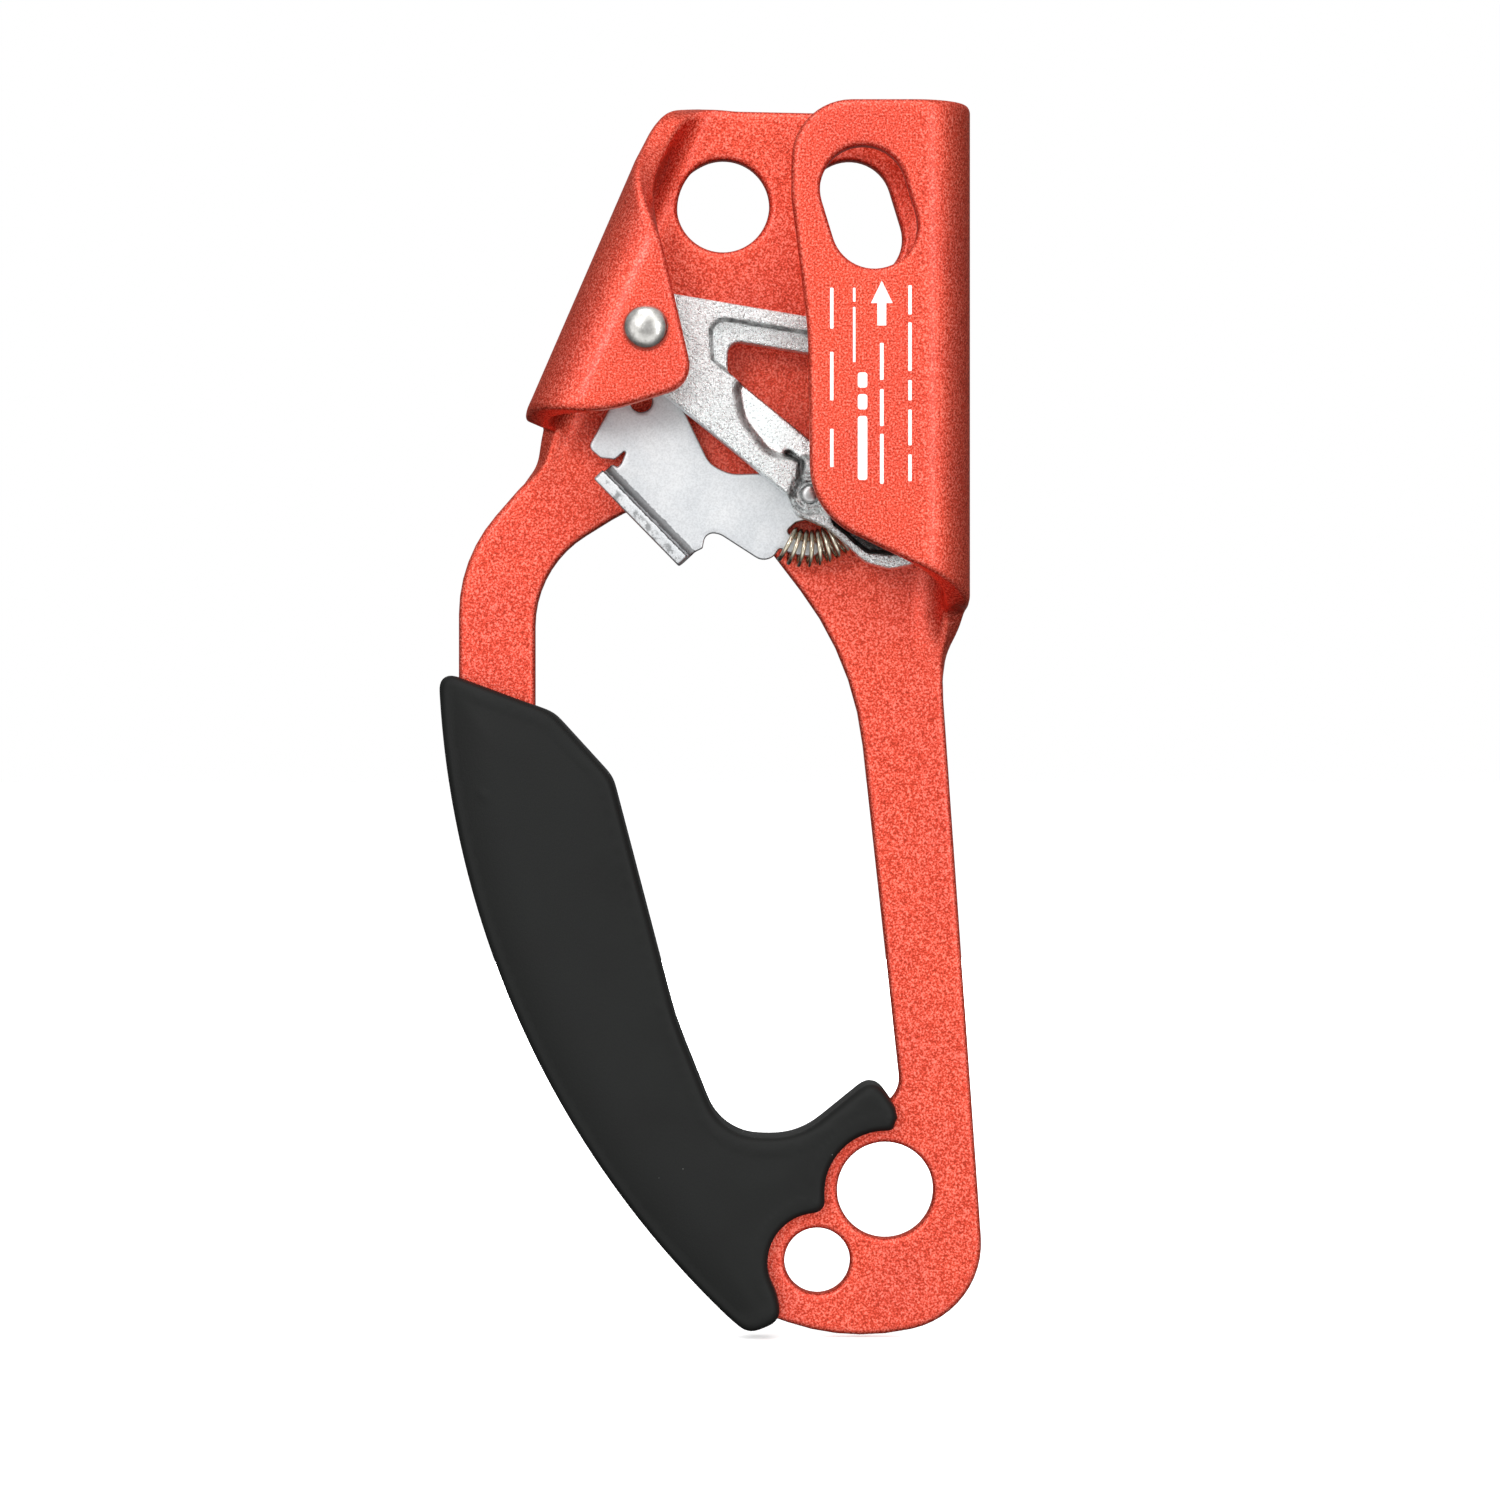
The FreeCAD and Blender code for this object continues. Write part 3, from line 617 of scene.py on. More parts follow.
RED = anodised_red()
RUBBER = rubber()
CAST = cast_steel()
TEETH_METAL = tooth_steel()
ZINC = zinc_sheet()
RIVET = burnished("rivet_steel", (0.34, 0.33, 0.31), (0.74, 0.73, 0.70), 0.18, 0.9, 0.03)
BRIGHT = burnished("bright_steel", grey(0.38), grey(0.58), 0.26, 0.4, 0.015)
SPRING = burnished("spring_steel", (0.48, 0.42, 0.31), (0.78, 0.72, 0.60), 0.12, 0.6, 0.008)
MARK = mark_white()

# ---- the bent sheet ----


def lean(across, up):
    """Place on the back plate from the housing's foot, across from its outer side and up along it."""
    return FOOT + across * ACROSS + up * UP


def on_housing(past, up):
    """Place in the flat blank of a point some way past the start of the housing's fold."""
    return lean(HOUSING_BEND - past, up)


def on_channel(x, z):
    """Place in the flat blank of a point of the channel's front flange."""
    return np.array([2 * CHANNEL_BEND + FOLD - x, z])


def bent(past, curl):
    """How far out and how far forward a fold has come, some way past its start. Its bends are tight where
    curl is 1 and open to nothing where curl is 0."""
    out, forward, angle = (np.zeros_like(past) for _ in range(3))
    tight, endless = 1 / MIDDLE_RADIUS, 1e3
    for length, rate in ((QUARTER, tight), (WEB, 0.0), (QUARTER, tight), (endless, 0.0)):
        run = np.clip(past, 0, length)
        turn = np.maximum(rate * curl, 1e-6)
        ahead = angle + turn * run
        out += (np.sin(ahead) - np.sin(angle)) / turn
        forward += (np.cos(angle) - np.cos(ahead)) / turn
        angle = ahead
        past = np.maximum(past - length, 0)
    return out, forward


def folded(plan):
    """Middle of the sheet after folding, for points of the flat blank. Both folds open to nothing at their
    feet, and the housing's fold does not reach the arm below its foot."""
    x, z = plan[:, 0], plan[:, 1]
    past = np.maximum(x - CHANNEL_BEND, 0)
    out, forward = bent(past, eased(z, *CHANNEL_CURL))
    made_x = np.where(past > 0, CHANNEL_BEND + out, x)
    across = (plan - FOOT) @ ACROSS
    up = (plan - FOOT) @ UP
    past = np.maximum(HOUSING_BEND - across, 0) * (up > -12)
    out_left, forward_left = bent(past, eased(up, *HOUSING_CURL))
    shift = np.where(past > 0, HOUSING_BEND - out_left - across, 0)
    made_x = made_x + shift * ACROSS[0]
    made_z = z + shift * ACROSS[1]
    return np.stack([made_x, -forward - forward_left, made_z], 1)


def on_sheet(plan, depth):
    """A point of the blank at a height in front of the sheet's middle, square to the folded sheet."""
    small = 0.02
    side = folded(plan + [small, 0]) - folded(plan - [small, 0])
    rise = folded(plan + [0, small]) - folded(plan - [0, small])
    return folded(plan) + unit(np.cross(side, rise)) * depth[:, None]


def slot_outline(centre, radius, half, angle):
    """A round-ended slot, leaning to the left of upright by an angle."""
    end = half + radius
    ring = rounded_box(-radius, radius, -end, end, radius * 0.999)
    turn = math.radians(angle)
    x, z = ring.T
    return np.stack([centre[0] + x * math.cos(turn) - z * math.sin(turn),
                     centre[1] + x * math.sin(turn) + z * math.cos(turn)], 1)


def frame_sheet():
    """The whole frame from its flat blank: back plate, hand ring, and both folds with their flanges."""
    blank = corner_run([
        (*on_channel(-15.2, 172.15), 9.5), (*on_channel(-15.2, 157.0), 12),
        (*on_channel(-12.6, 136.0), 40), (*on_channel(-12.2, 107.6), 12), (28.5, 99.1, 8),
        (19.0, 93.4, 5), (13.6, 92.6, 3), (9.7, 86.2, 8), (9.1, 81.5, 30), (16.2, -19.6, 14),
        (-6.0, -24.5, 36), (-24.0, -18.3, 20), (-36.0, -7.0, 60), (-58.5, 30.0, 120), (-68.3, 72.0, 60),
        (-68.3, 101.2, 24), (-55.5, 115.9, 6), (*lean(3.3, 1.5), 0.7), (*on_housing(13.2, 1.0), 2.5),
        (*on_housing(28.1, 6.3), 30), (*on_housing(39.5, 16.4), 4.4), (*on_housing(26.3, 34.2), 30),
        (*on_housing(13.0, 49.2), 12), (*on_housing(8.4, 55.6), 9), (*on_housing(2.5, 58.8), 10),
        (-24.0, 172.75, 20), (4.1, 172.15, 60)])
    ring = corner_run([
        (-56.1, 99.8, 17), (-29.2, 116.5, 19), (-5.1, 85.0, 50), (2.5, 15.6, 4.5), (-11.0, 6.6, 12),
        (-31.5, 5.0, 12), (-49.0, 36.0, 60), (-56.1, 66.0, 40)])
    axle_across = (np.array(AXLE) - FOOT) @ ACROSS
    axle_up = (np.array(AXLE) - FOOT) @ UP
    edge_step = 0.9
    holes = [
        filled(ring, 1.1),
        circle(LARGE_HOLE, LARGE_RADIUS),
        circle(SMALL_HOLE, SMALL_RADIUS, 56),
        circle(UPPER_HOLE, UPPER_RADIUS),
        circle(AXLE, AXLE_RADIUS, 32),
        circle(on_housing(FOLD + axle_across - HOUSING_BEND, axle_up), AXLE_RADIUS, 32),
        filled(slot_outline(SLOT - [REAR_SLOT_SHIFT, 0], SLOT_RADIUS, SLOT_HALF, SLOT_LEAN), edge_step),
        filled(slot_outline(on_channel(*SLOT), SLOT_RADIUS, SLOT_HALF, -SLOT_LEAN), edge_step),
    ]
    blank = filled(blank, edge_step)
    low, high = blank.min(0), blank.max(0)
    spacing = 1.15
    straight = square_grid(low, high, spacing)
    leaning = square_grid(low, high, spacing, LEAN_DEGREES)
    near_fold = HOUSING_BEND + 2.5
    seeds = np.vstack([straight[(straight - FOOT) @ ACROSS > near_fold],
                       leaning[(leaning - FOOT) @ ACROSS <= near_fold]])
    rounded_edge = (1.25, 0.9)
    points, faces = slab(blank, holes, spacing, even(HALF), even(-HALF), on_sheet, rounded_edge, 6, seeds)
    add_piece("frame_sheet", points, faces, "root", RED, "anodised_aluminium", ["frame"])


frame_sheet()

# ---- rubber grip ----

GRIP_ARC = (77.6, 87.9)  # centre of the palm side's long arc
GRIP_RADIUS = 149.1
GRIP_HALF = 6.5  # half its thickness
GRIP_TOP = 80.4  # z of the two ends of the palm side
GRIP_FOOT = -20.4


def grip_arc_x(z):
    """x of the palm side at a height."""
    return GRIP_ARC[0] - math.sqrt(GRIP_RADIUS ** 2 - (z - GRIP_ARC[1]) ** 2)


def grip():
    """Rubber round the left arm: rounded on the palm side, square on the finger side, with a moulding lip."""
    outer = np.array([(grip_arc_x(z), z) for z in np.linspace(GRIP_FOOT, GRIP_TOP, 90)])
    inner = corner_run([
        (grip_arc_x(GRIP_TOP), GRIP_TOP, 0), (grip_arc_x(83.3), 83.3, 1.8), (-53.2, 76.6, 5),
        (-43.7, 66.2, 5), (-33.6, 27.6, 45), (-26.2, 8.9, 9), (-14.0, 8.6, 12), (-1.9, 18.4, 2.4),
        (1.9, 13.0, 0), (1.3, 12.6, 0), (2.3, 11.9, 0), (1.2, 11.2, 0), (1.6, 10.2, 0)], closed=False)
    around_large = arc(LARGE_HOLE, LARGE_RADIUS + 2.1, 84, 192)
    around_small = arc(SMALL_HOLE, SMALL_RADIUS + 2.75, 88, 214)
    heel = corner_run([
        (*around_small[-1], 0), (-16.4, -20.4, 2.6), (-21.9, -22.8, 2.6),
        (grip_arc_x(GRIP_FOOT), GRIP_FOOT, 0)], closed=False)
    ring = softened(np.vstack([inner, around_large, around_small, heel[1:-1], outer]), 0.55, 3)

    def height(plan):
        palm = distance_to(plan, outer, closed=False)
        edge = distance_to(plan, ring)
        palm_drop, palm_reach = 2.5, 10.5
        drop = palm_drop * np.clip(1 - palm / palm_reach, 0, 1) ** 2.2
        crown_high, lip_high = 0.35, 0.22
        crown = crown_high * eased(edge, 1.0, 9.0) - crown_high
        lip = lip_high * np.exp(-((edge - 2.0) / 0.42) ** 2) * eased(palm, 3.5, 6.0)
        return GRIP_HALF - drop + crown + lip

    spacing, rounded_edge = 0.75, (1.5, 1.5)
    points, faces = slab(ring, [], spacing, height, lambda p: -height(p), upright, rounded_edge, 6)
    gate, gate_radius, gate_high = np.array([-64.1, 63.3]), 1.1, 0.16  # the mould's gate mark
    for i, (x, y, z) in enumerate(points):
        away = math.hypot(x - gate[0], z - gate[1])
        if away < gate_radius and y < 0:
            points[i, 1] -= gate_high * (1 - eased(np.array(away), 0.5, gate_radius))
    add_piece("rubber_grip", points, faces, "root", RUBBER, "grip_rubber", ["handle_grip"])


grip()

# ---- rivets, washers and sleeve ----

WASHER_THICK = 1.0


def dome(radius, start, height, flat=0.06, steps=14):
    """(radius, depth) points of a domed head from its middle to its rim."""
    made = [(0, start + height)]
    for angle in np.linspace(0, math.pi / 2, steps + 1):
        r = flat * radius + (1 - flat) * radius * math.sin(angle)
        made.append((r, start + height * math.cos(angle) ** 0.9 if angle < math.pi / 2 else start))
    return made


def cam_axle():
    """Rivet through both walls, with a domed head in front and a set tail behind its washer."""
    head_radius, head_high, tail_radius, tail_high = 3.6, 2.2, 3.8, 1.6
    washer_back = -HALF - WASHER_THICK
    bite = 0.02
    head = dome(head_radius, FLANGE_FRONT, head_high)
    tail = dome(tail_radius, washer_back, -tail_high)[::-1]
    shank = [(AXLE_RADIUS, FLANGE_FRONT - bite), (AXLE_RADIUS, washer_back + bite)]
    points, faces = lathe(head + shank + tail, AXLE)
    add_piece("cam_axle_rivet", points, faces, "root", RIVET, "axle_steel", ["cam_axle"])


def back_washer():
    """Washer behind the back plate, under the axle's set tail, with its edges broken."""
    outer, inner, edge = 5.0, AXLE_RADIUS, 0.15
    start, end = -HALF - WASHER_THICK, -HALF
    section = [(inner, start + edge), (inner, end - edge), (inner + edge, end), (outer - edge, end),
               (outer, end - edge), (outer, start + edge), (outer - edge, start), (inner + edge, start)]
    points, faces = lathe(section, AXLE, closed=True)
    add_piece("cam_axle_back_washer", points, faces, "root", BRIGHT, "washer_steel", ["cam_axle_washer"])


def catch_rivet():
    """Rivet from a flat head behind the catch to a domed end in the knuckle's recess."""
    head = [(2.8, 4.3), (2.8, 3.35), (2.55, 3.1), (0, 3.1)]
    end = [(0, 12.72), (0.7, 12.70), (1.1, 12.62), (1.35, 12.42), (PIVOT_RADIUS, 12.1), (PIVOT_RADIUS, 4.3)]
    points, faces = lathe(end + head, PIVOT, 40)
    add_piece("catch_pivot_rivet", points, faces, "cam", BRIGHT, "rivet_steel", ["catch_rivet"])


cam_axle()
back_washer()
catch_rivet()
for node in ("cam_sleeve", "cam_thrust_washers"):
    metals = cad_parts[node].data.materials
    metals.clear()
    metals.append(BRIGHT)

# ---- cam ----

TOOTH = 1.3  # height of the teeth
FACE_GAP = 1.2  # from the teeth to the channel's wall when the cam is closed
FACE_ANGLE = 30.0  # where the closed cam meets the rope, in degrees below level
CAM_FRONT = 12.9  # depths of the casting's two faces
CAM_REAR = 6.9
CAST_DETAIL = 9.6  # depth past which the casting's surface attributes are marked


def face_point(angle, lift):
    """Point of the toothed face, lift past the roots of its teeth: a spiral round the axle that always meets
    the rope at the same angle."""
    contact = math.radians(FACE_ANGLE)
    radius = (CHANNEL_SIDE - SHEET - FACE_GAP - AXLE[0]) / math.cos(contact)
    radius *= math.exp(math.tan(contact) * (math.radians(angle) - contact))
    radius += lift - TOOTH
    return AXLE[0] + radius * math.cos(math.radians(angle)), AXLE[1] - radius * math.sin(math.radians(angle))


def spike(base, tip, radius, sides=8):
    """A small cone on the cam's face, its tip leaning down the rope."""
    base, tip = np.array(base, float), np.array(tip, float)
    along = unit(tip - base)
    side = unit(np.cross(along, [0, 1, 0]))
    other = np.cross(along, side)
    points = []
    # Rings of the cone: how far up it, from just under the surface, and how wide.
    rings = ((-0.35, 1.12), (0.0, 1.0), (0.6, 0.52), (0.93, 0.16))
    for level, scale in rings:
        for a in np.linspace(0, 2 * math.pi, sides, endpoint=False):
            out = side * math.cos(a) + other * math.sin(a)
            points.append(base + (tip - base) * level + out * radius * scale)
    last = (len(rings) - 1) * sides
    cone = [(last + s, last + (s + 1) % sides, len(points)) for s in range(sides)]
    return points + [tip], [list(range(sides))[::-1]] + bands(len(rings), sides) + cone


def cam_outline():
    """The hub, the straight lower edge down to the tail, and the nose with its spiral face."""
    face = np.array([face_point(a, 0.0) for a in np.linspace(36.5, -0.5, 38)])
    lower = corner_run([
        (-41.5, 131.0, 0), (-35.6, 126.9, 6), (-15.6, 110.6, 1.5), (-14.8, 107.7, 2), (-11.6, 106.5, 2.5),
        (-9.2, 105.3, 2), (-3.5, 100.1, 2.4), (0.4, 99.0, 3), (4.6, 99.9, 2), (*face[0], 0)], closed=False)
    hub_radius = 7.2
    hub = arc(AXLE, hub_radius, 57, 222)
    return softened(np.vstack([lower[1:], face[1:], hub]), 0.45, 2)


def cam():
    """Casting: grainy arms with raised rims, a smooth scooped pocket, the knuckle and a hollow tail."""
    ring = cam_outline()
    window = softened(corner_run([
        (-25.2, 135.3, 1.8), (-4.9, 131.9, 2.5), (-3.3, 112.2, 2.5), (-25.2, 130.1, 1.0)]), 0.4, 1)
    shelf = corner_run([
        (-28.0, 138.8, 2.2), (-2.4, 134.6, 2.5), (-1.4, 122.0, 2.5), (-20.0, 128.0, 1), (-25.2, 130.1, 1),
        (-27.6, 132.1, 0.8)])
    scoop = softened(corner_run([
        (-24.2, 129.6, 1), (-23.0, 122.6, 5), (-18.6, 116.9, 4), (-9.0, 116.4, 2), (-6.5, 119.0, 2)]), 0.5, 3)
    tail = softened(corner_run([
        (-9.2, 107.0, 0.8), (-3.2, 101.8, 1.5), (3.0, 101.4, 1.5), (3.0, 108.0, 2), (-4.5, 110.0, 2)
    ]), 0.4, 2)
    notch = corner_run([
        (-15.6, 117.3, 0), (-13.5, 116.0, 0.8), (-13.9, 112.6, 2), (-15.0, 110.6, 0)], closed=False)
    nose = corner_run([
        (-4.6, 139.0, 0), (12.0, 139.0, 0), (14.0, 97.0, 0), (2.4, 97.0, 2), (0.4, 106.0, 5), (1.6, 114.0, 5),
        (-4.6, 128.0, 6)])

    def front(plan):
        depth = np.full(len(plan), CAM_FRONT)
        depth += 0.4 * within(plan, nose, 1.6)
        for hollow, deep, wall in ((shelf, 1.5, 0.8), (scoop, 1.9, 1.8), (tail, 2.9, 0.9)):
            depth -= deep * within(plan, hollow, wall)
        hub = np.linalg.norm(plan - AXLE, axis=1)
        depth += 1.2 * (1 - eased(hub, 4.6, 5.3))
        knuckle = np.linalg.norm(plan - PIVOT, axis=1)
        ring_radius, left_of = 2.95, PIVOT[0] + 1.6
        ring_groove = 0.8 * np.exp(-((knuckle - ring_radius) / 0.34) ** 2) * (plan[:, 0] < left_of)
        depth -= np.maximum(ring_groove, 1.3 * np.exp(-(distance_to(plan, notch, False) / 0.45) ** 2))
        depth -= 0.75 * (1 - eased(knuckle, 1.9, 2.25))
        lumps, lump_high = 1.3, 0.035
        grain = np.array([noise.noise(Vector((x * lumps, z * lumps, 3.1))) for x, z in plan])
        return depth + lump_high * grain

    def rear(plan):
        """The back, with a sector cut round the knuckle for the catch's spring and finger."""
        depth = np.full(len(plan), CAM_REAR)
        depth -= 2.7 * within(plan, nose, 0.8)
        away = plan - PIVOT
        radius = np.linalg.norm(away, axis=1)
        angle = np.degrees(np.arctan2(away[:, 0], -away[:, 1]))
        room = eased(radius, 4.7, 5.1) * (1 - eased(radius, 11.6, 12.0)) * (angle > -60) * (angle < 52)
        room_floor = 9.1
        return depth + (room_floor - depth) * room

    bores = [circle(AXLE, 4.05, 48), circle(PIVOT, PIVOT_RADIUS + 0.02, 28)]
    spacing, rounded_edge = 0.32, (0.42, 0.42)
    points, faces = slab(ring, [window] + bores, spacing, front, rear, upright, rounded_edge, 3)
    piece = add_piece("cam_casting", points, faces, "cam", CAST, "cast_steel", ["cam"])
    plan = points[:, [0, 2]]
    small = 0.12
    slope = np.hypot(front(plan + [small, 0]) - front(plan - [small, 0]),
                     front(plan + [0, small]) - front(plan - [0, small])) / (2 * small)
    # The casting's colour reads these attributes to paint shade on steep walls, in the scooped pocket and in
    # the tail hollow and notch; the scooped pocket also gets a finer grain.
    facing = -points[:, 1] > CAST_DETAIL
    steep = piece.data.attributes.new("steep", "FLOAT", "POINT")
    steep.data.foreach_set("value", np.where(facing, slope, 0.0).astype(np.float32))
    dark = np.maximum(within(plan, tail, 1.8), np.exp(-(distance_to(plan, notch, False) / 0.5) ** 2))
    for name, share in (("scooped", within(plan, scoop, 1.8)), ("painted_hollow_shade", dark)):
        layer = piece.data.attributes.new(name, "FLOAT", "POINT")
        layer.data.foreach_set("value", (share * facing).astype(np.float32))


def cam_teeth():
    """Four staggered rows of small spikes over the nose."""
    parts = []
    row_depths = (5.4, 7.6, 9.8, 12.0)
    per_row, pitch, first, hook = 13, 2.5, 3.0, 0.9  # the last three in degrees round the axle
    radius = 0.62
    for row, depth in enumerate(row_depths):
        stagger = pitch / 2 if row % 2 else 0
        for k in range(per_row):
            angle = first + stagger + pitch * k
            base_x, base_z = face_point(angle, -0.1)
            tip_x, tip_z = face_point(angle + hook, TOOTH - 0.05)
            parts.append(spike((base_x, -depth, base_z), (tip_x, -depth, tip_z), radius))
    add_piece("cam_teeth", *joined(parts), "cam", TEETH_METAL, "cast_steel")


cam()
cam_teeth()

# ---- catch ----

CATCH_MIDDLE = 5.6  # depth of the middle of the catch's sheet
CATCH_HALF = 1.0  # half its thickness
TAB_RADIUS = 2.8  # of the tab's bend, half way through the sheet
TAB_STRAIGHT = 4.8  # of the tab past its bend
FINGER_RADII = (7.1, 9.5)  # the finger's inner and outer side, from the pivot
FINGER_END = 10  # where it ends, in degrees round the pivot from straight down


def about_pivot(radius, angle):
    """Place some way from the catch's rivet, its angle in degrees from straight down."""
    turn = math.radians(angle)
    return PIVOT[0] + radius * math.sin(turn), PIVOT[1] - radius * math.cos(turn)


def catch():
    """Pressed lever: horn, slit and eye at its tip, thumb tab folded forward, and a finger in the spring."""
    reach = TAB_RADIUS * math.pi / 2 + TAB_STRAIGHT
    inner, outer = FINGER_RADII
    finger = [(*about_pivot(outer, angle), 0) for angle in (-30, -20, -10, 0)]
    finger += [(*about_pivot(outer, FINGER_END), 1.0), (*about_pivot(inner, FINGER_END), 1.0)]
    finger += [(*about_pivot(inner, angle), 0) for angle in (0, -10, -20)]
    ring = corner_run([
        (-42.6, 127.6, 2.2), (-47.4, 118.6, 1.2), (-45.4, 116.9, 0.9), (-43.2, 116.7, 0.5),
        (-41.2, 118.4, 0.2), (-42.1, 116.1, 0.5), (-42.7, 115.5, 0.2), (*TAB_START, 0.5),
        (*(TAB_START + TAB_OUT * reach), 0.6), (*(TAB_END + TAB_OUT * reach), 0.6),
        (*(TAB_END + TAB_OUT * 0.3), 0.3), (-29.2, 102.6, 0.4), (-28.7, 105.2, 1.5), (-26.4, 104.8, 3),
        (-18.8, 99.9, 2.4),
        *finger,
        (-15.9, 105.3, 0.6), (-14.4, 106.7, 0.5), (-8.8, 108.1, 3.0), (-8.2, 115.0, 3.4),
        (-24.8, 114.3, 6), (-28.1, 116.0, 4), (-33.8, 128.0, 1.5), (-38.2, 129.0, 3)])

    def place(plan, depth):
        """A point of the flat sheet at a height in front of its middle, with the tab folded forward."""
        along = (plan - TAB_START) @ TAB_ALONG
        past = (plan - TAB_START) @ TAB_OUT
        bends = (past > 0) & (along > -0.1)
        turn = np.where(bends, np.clip(past / TAB_RADIUS, 0, math.pi / 2), 0)
        out = np.where(bends, TAB_RADIUS * np.sin(turn), past)
        straight = np.maximum(past - TAB_RADIUS * math.pi / 2, 0)
        forward = np.where(bends, TAB_RADIUS * (1 - np.cos(turn)) + straight, 0)
        flat = TAB_START + along[:, None] * TAB_ALONG + out[:, None] * TAB_OUT
        middle = np.stack([flat[:, 0], -CATCH_MIDDLE - forward, flat[:, 1]], 1)
        normal = np.stack([-np.sin(turn) * TAB_OUT[0], -np.cos(turn), -np.sin(turn) * TAB_OUT[1]], 1)
        return middle + normal * depth[:, None]

    eye, eye_radius = (-39.0, 126.0), 1.8
    holes = [circle(eye, eye_radius, 32), circle(PIVOT, PIVOT_RADIUS + 0.05, 28)]
    spacing, rounded_edge = 0.55, (0.3, 0.3)
    points, faces = slab(filled(ring, 0.45), holes, spacing, even(CATCH_HALF), even(-CATCH_HALF), place,
                         rounded_edge, 3)
    add_piece("catch_lever", points, faces, "catch", ZINC, "catch_steel", ["catch"])


catch()

# ---- springs ----


def catch_spring():
    """Short coil bent round the pivot, so that its turns fan out on the outer side."""
    turns, wire, outside, middle = 8.5, 0.38, 3.1, 8.3  # the last is from the pivot to the coil's middle
    start, seat, end = -26.0, 46.0, 48.0  # degrees round the pivot from straight down
    coil = outside - wire
    path = []
    for share in np.linspace(0, 1, 340):
        twist = 2 * math.pi * turns * share
        x, z = about_pivot(middle + coil * math.cos(twist), start + (end - start) * share)
        path.append((x, -CATCH_MIDDLE - coil * math.sin(twist), z))
    points, faces = tube(path, wire)
    piece = add_piece("catch_return_spring", points, faces, None, SPRING, "catch_spring_steel",
                      ["catch_spring"])

    def at(angle):
        x, z = about_pivot(middle, angle)
        return (x * MM, -CATCH_MIDDLE * MM, z * MM)

    at(start)
    at(seat)
    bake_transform(piece)


def cam_spring():
    """Torsion spring on the sleeve behind the cam."""
    turns, wire, outside = 2.0, 0.5, 6.4
    near_plate, long, first = 3.98, 2.1, math.radians(200)
    radius = outside - wire
    path = []
    for share in np.linspace(0, 1, 150):
        twist = first + 2 * math.pi * turns * share
        path.append((AXLE[0] + radius * math.cos(twist), -near_plate - long * share,
                     AXLE[1] + radius * math.sin(twist)))
    points, faces = tube(path, wire)
    piece = add_piece("cam_torsion_spring", points, faces, None, SPRING, "spring_steel", ["cam_spring"])
    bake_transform(piece)


catch_spring()
cam_spring()

# ---- marks on the channel ----


def marks():
    """Plain white marks: an arrow that says which way is up, and bars that carry no words."""
    proud, sunk = 0.03, 0.1
    parts = []

    def flat_piece(ring):
        ring = turned_to(np.array(ring, float), True)
        count = len(ring)
        points = [(x, -FLANGE_FRONT - proud, z) for x, z in ring]
        points += [(x, -FLANGE_FRONT + sunk, z) for x, z in ring]
        faces = [list(range(count)), list(range(count, 2 * count))[::-1]]
        faces += [(i, i + count, (i + 1) % count + count, (i + 1) % count) for i in range(count)]
        parts.append((points, faces))

    flat_piece([(-1.1, 143.7), (0.6, 140.2), (-0.4, 140.2), (-0.4, 136.7), (-1.8, 136.7), (-1.8, 140.2),
                (-2.8, 140.2)])
    # Columns of bars: x of the middle, width, and the top and bottom of each bar.
    bars = [
        (3.3, 0.55, [(143.0, 138.4), (137.2, 129.6), (128.2, 125.0), (123.6, 118.0), (116.6, 112.4)]),
        (-1.1, 0.6, [(134.0, 128.2), (126.8, 121.0), (119.8, 112.0)]),
        (-4.1, 1.5, [(129.4, 127.0), (126.0, 123.6), (122.6, 112.6)]),
        (-5.4, 0.4, [(142.6, 140.4), (139.6, 131.0)]),
        (-8.9, 0.55, [(142.6, 136.2), (132.6, 125.0), (120.6, 114.6)]),
    ]
    for x, wide, runs in bars:
        for top, bottom in runs:
            flat_piece(rounded_box(x - wide / 2, x + wide / 2, bottom, top, wide * 0.3))
    add_piece("channel_marks", *joined(parts), "root", MARK, "anodised_aluminium").data.shade_flat()


marks()

# ---- stage, in metres and watts ----

MIDDLE = (-0.02, 0, 0.09)  # of the object, where most lamps point


def add_floor():
    """Wide pale paper just under the object."""
    low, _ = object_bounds()
    size, gap = 12.0, 0.0004
    data = bpy.data.meshes.new("floor")
    z = low.z - gap
    corners = [(-size, -size, z), (size, -size, z), (size, size, z), (-size, size, z)]
    data.from_pydata(corners, [], [(0, 1, 2, 3)])
    piece = add_object("floor", data)
    n = material("floor_paper")
    base = n.ramp(n.noise(3.0, 3.0), [(0.3, grey(0.90)), (0.7, grey(0.92))])
    data.materials.append(finished(n, base, 0.0, 0.95, Specular_IOR_Level=0.1, Emission_Color=WHITE,
                                   Emission_Strength=0.42))
    # The metal mirrors the dark room under the table, not the paper, so its folds and rims keep their depth.
    piece.visible_glossy = False
    piece.visible_diffuse = False


def add_light(name, place, aim, size, power):
    """A soft box, width by height."""
    data = bpy.data.lights.new(name, "AREA")
    data.shape = "RECTANGLE"
    data.size, data.size_y = size
    data.energy = power
    lamp = add_object(name, data)
    lamp.location = place
    lamp.rotation_euler = (Vector(aim) - Vector(place)).to_track_quat("-Z", "Y").to_euler()
    return lamp


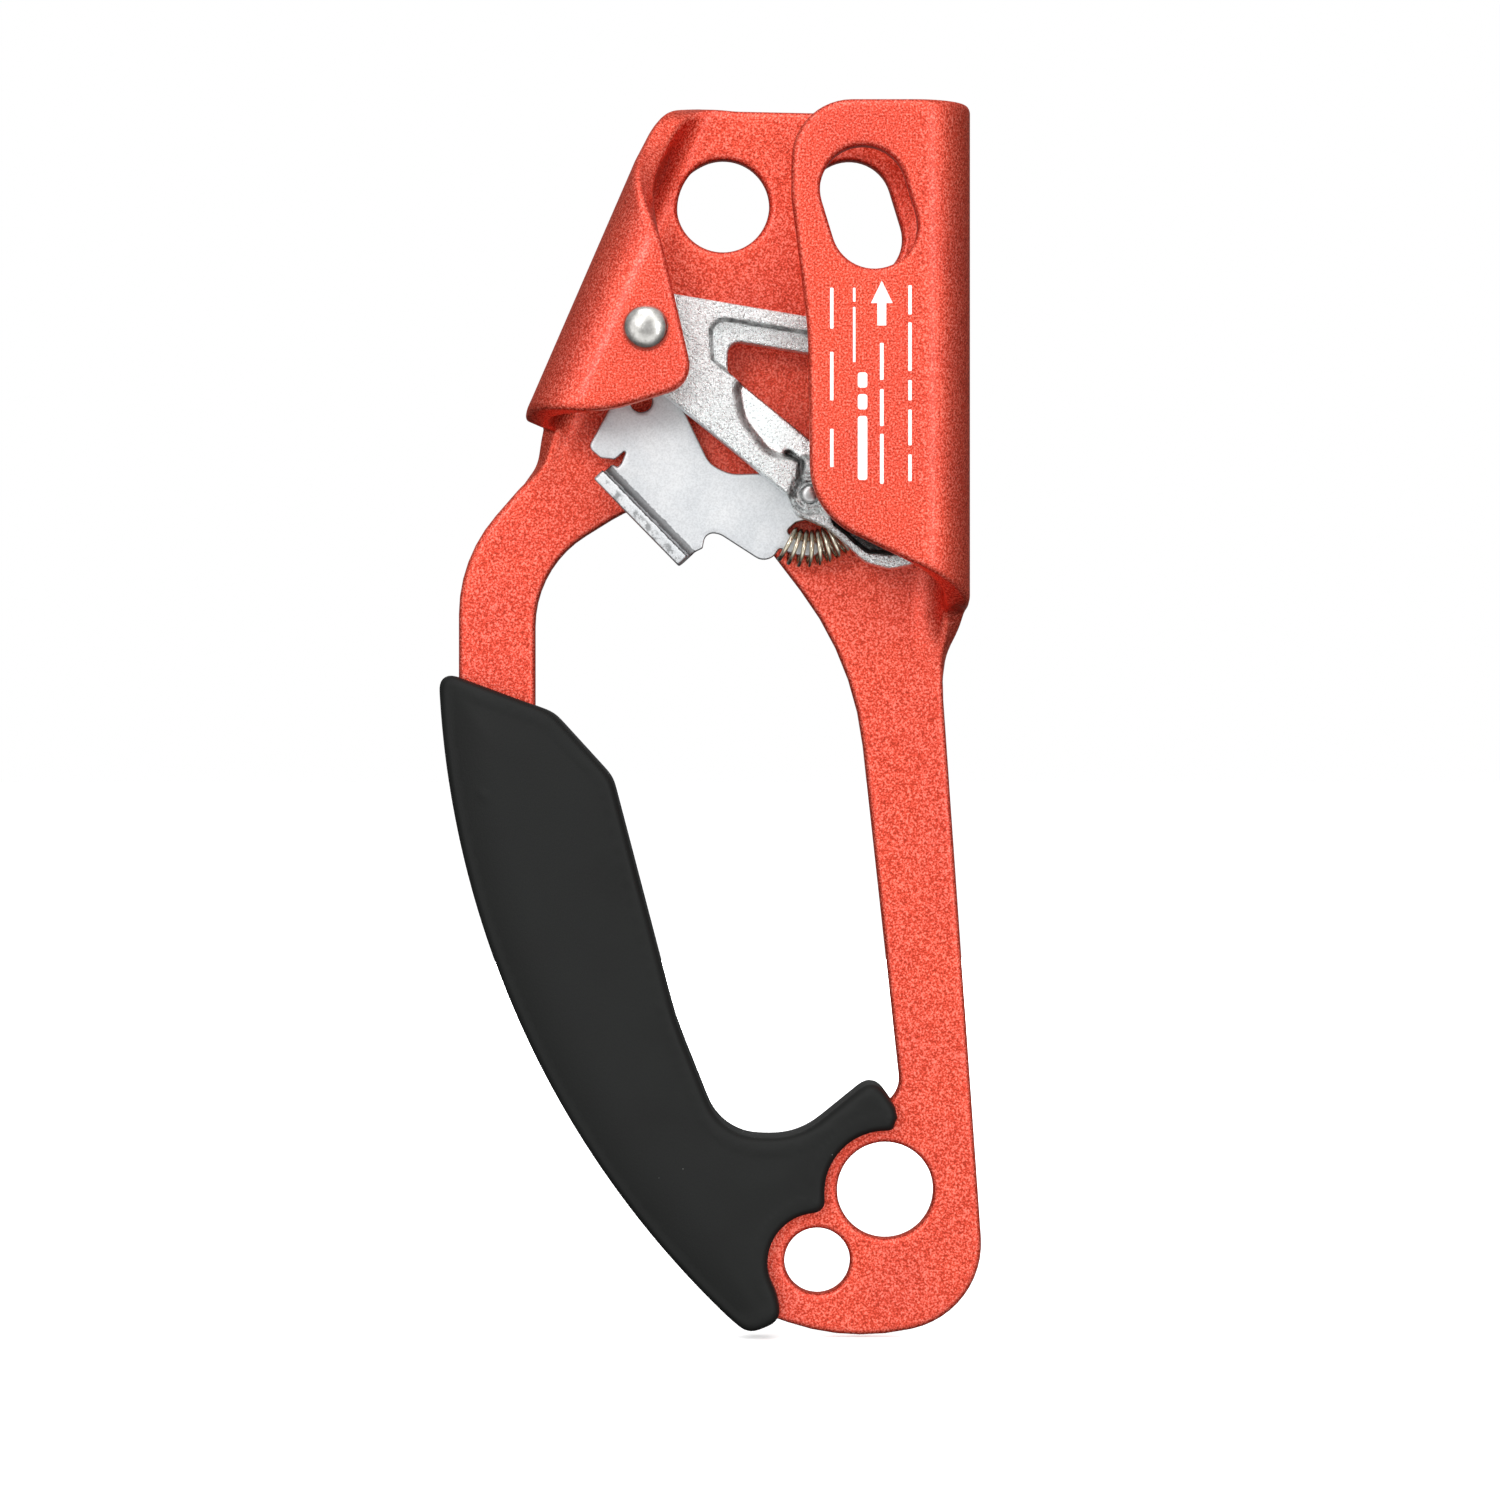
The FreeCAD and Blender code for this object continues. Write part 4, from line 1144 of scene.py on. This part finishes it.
def add_world():
    """White to the eye. What the metal reflects is a tent: bright above and in a ring round the front, dimmer
    straight in front, and dark behind and below."""
    world = bpy.data.worlds.new("studio")
    bpy.context.scene.world = world
    n = Nodes(world)
    split = n.add("ShaderNodeSeparateXYZ", {"Vector": n.coordinates["Generated"]}).outputs
    up = split["Z"]
    down, front = (n.maths(split[axis], -1.0, "MULTIPLY") for axis in "ZY")
    total = 0.15
    # Glows added to the base: along which direction, where each starts and is full, and its strength.
    for value, low, high, strength in ((front, -0.70, 0.50, 0.26), (front, 0.33, 0.82, 1.10),
                                       (front, 0.88, 0.98, -0.85), (up, 0.10, 0.75, 0.40),
                                       (down, 0.10, 0.75, -0.14)):
        total = n.maths(n.range(value, low, high, 0.0, strength, "SMOOTHSTEP"), total)
    lit = n.tree.nodes["Background"]
    n.put(lit.inputs["Color"], WHITE)
    n.put(lit.inputs["Strength"], total)
    seen = n.add("ShaderNodeBackground", {"Color": WHITE, "Strength": 1.0})
    mix = n.add("ShaderNodeMixShader", {"Fac": n.add("ShaderNodeLightPath").outputs["Is Camera Ray"]})
    n.put(mix.inputs[1], lit.outputs[0])
    n.put(mix.inputs[2], seen.outputs[0])
    n.put(n.tree.nodes["World Output"].inputs["Surface"], mix.outputs[0])


def add_camera():
    """Level, straight in front, a little left of the rope channel."""
    data = bpy.data.cameras.new("camera")
    data.lens = 105.0
    data.sensor_width = 36.0
    data.clip_start = 0.05
    camera = add_object("camera", data)
    camera.location = (-0.02166, -0.702, 0.07048)
    camera.rotation_euler = (math.pi / 2, 0, 0)
    bpy.context.scene.camera = camera


add_floor()
add_world()
add_light("left", (-0.55, -1.45, 0.55), MIDDLE, (0.30, 0.40), 3.0)
add_light("right", (0.90, -1.15, 0.15), (0.0, 0, 0.09), (0.25, 0.90), 3.0)
add_light("top", (-0.1, -0.60, 1.25), MIDDLE, (0.8, 0.5), 3.5)
# The lamp behind only fills the back's own colour: in the folds' bright metal it would draw a hard line.
fill = add_light("back", (-0.2, 1.15, 0.35), MIDDLE, (0.9, 0.9), 26.0)
fill.visible_glossy = False
add_camera()
bpy.context.scene.view_settings.view_transform = "Standard"
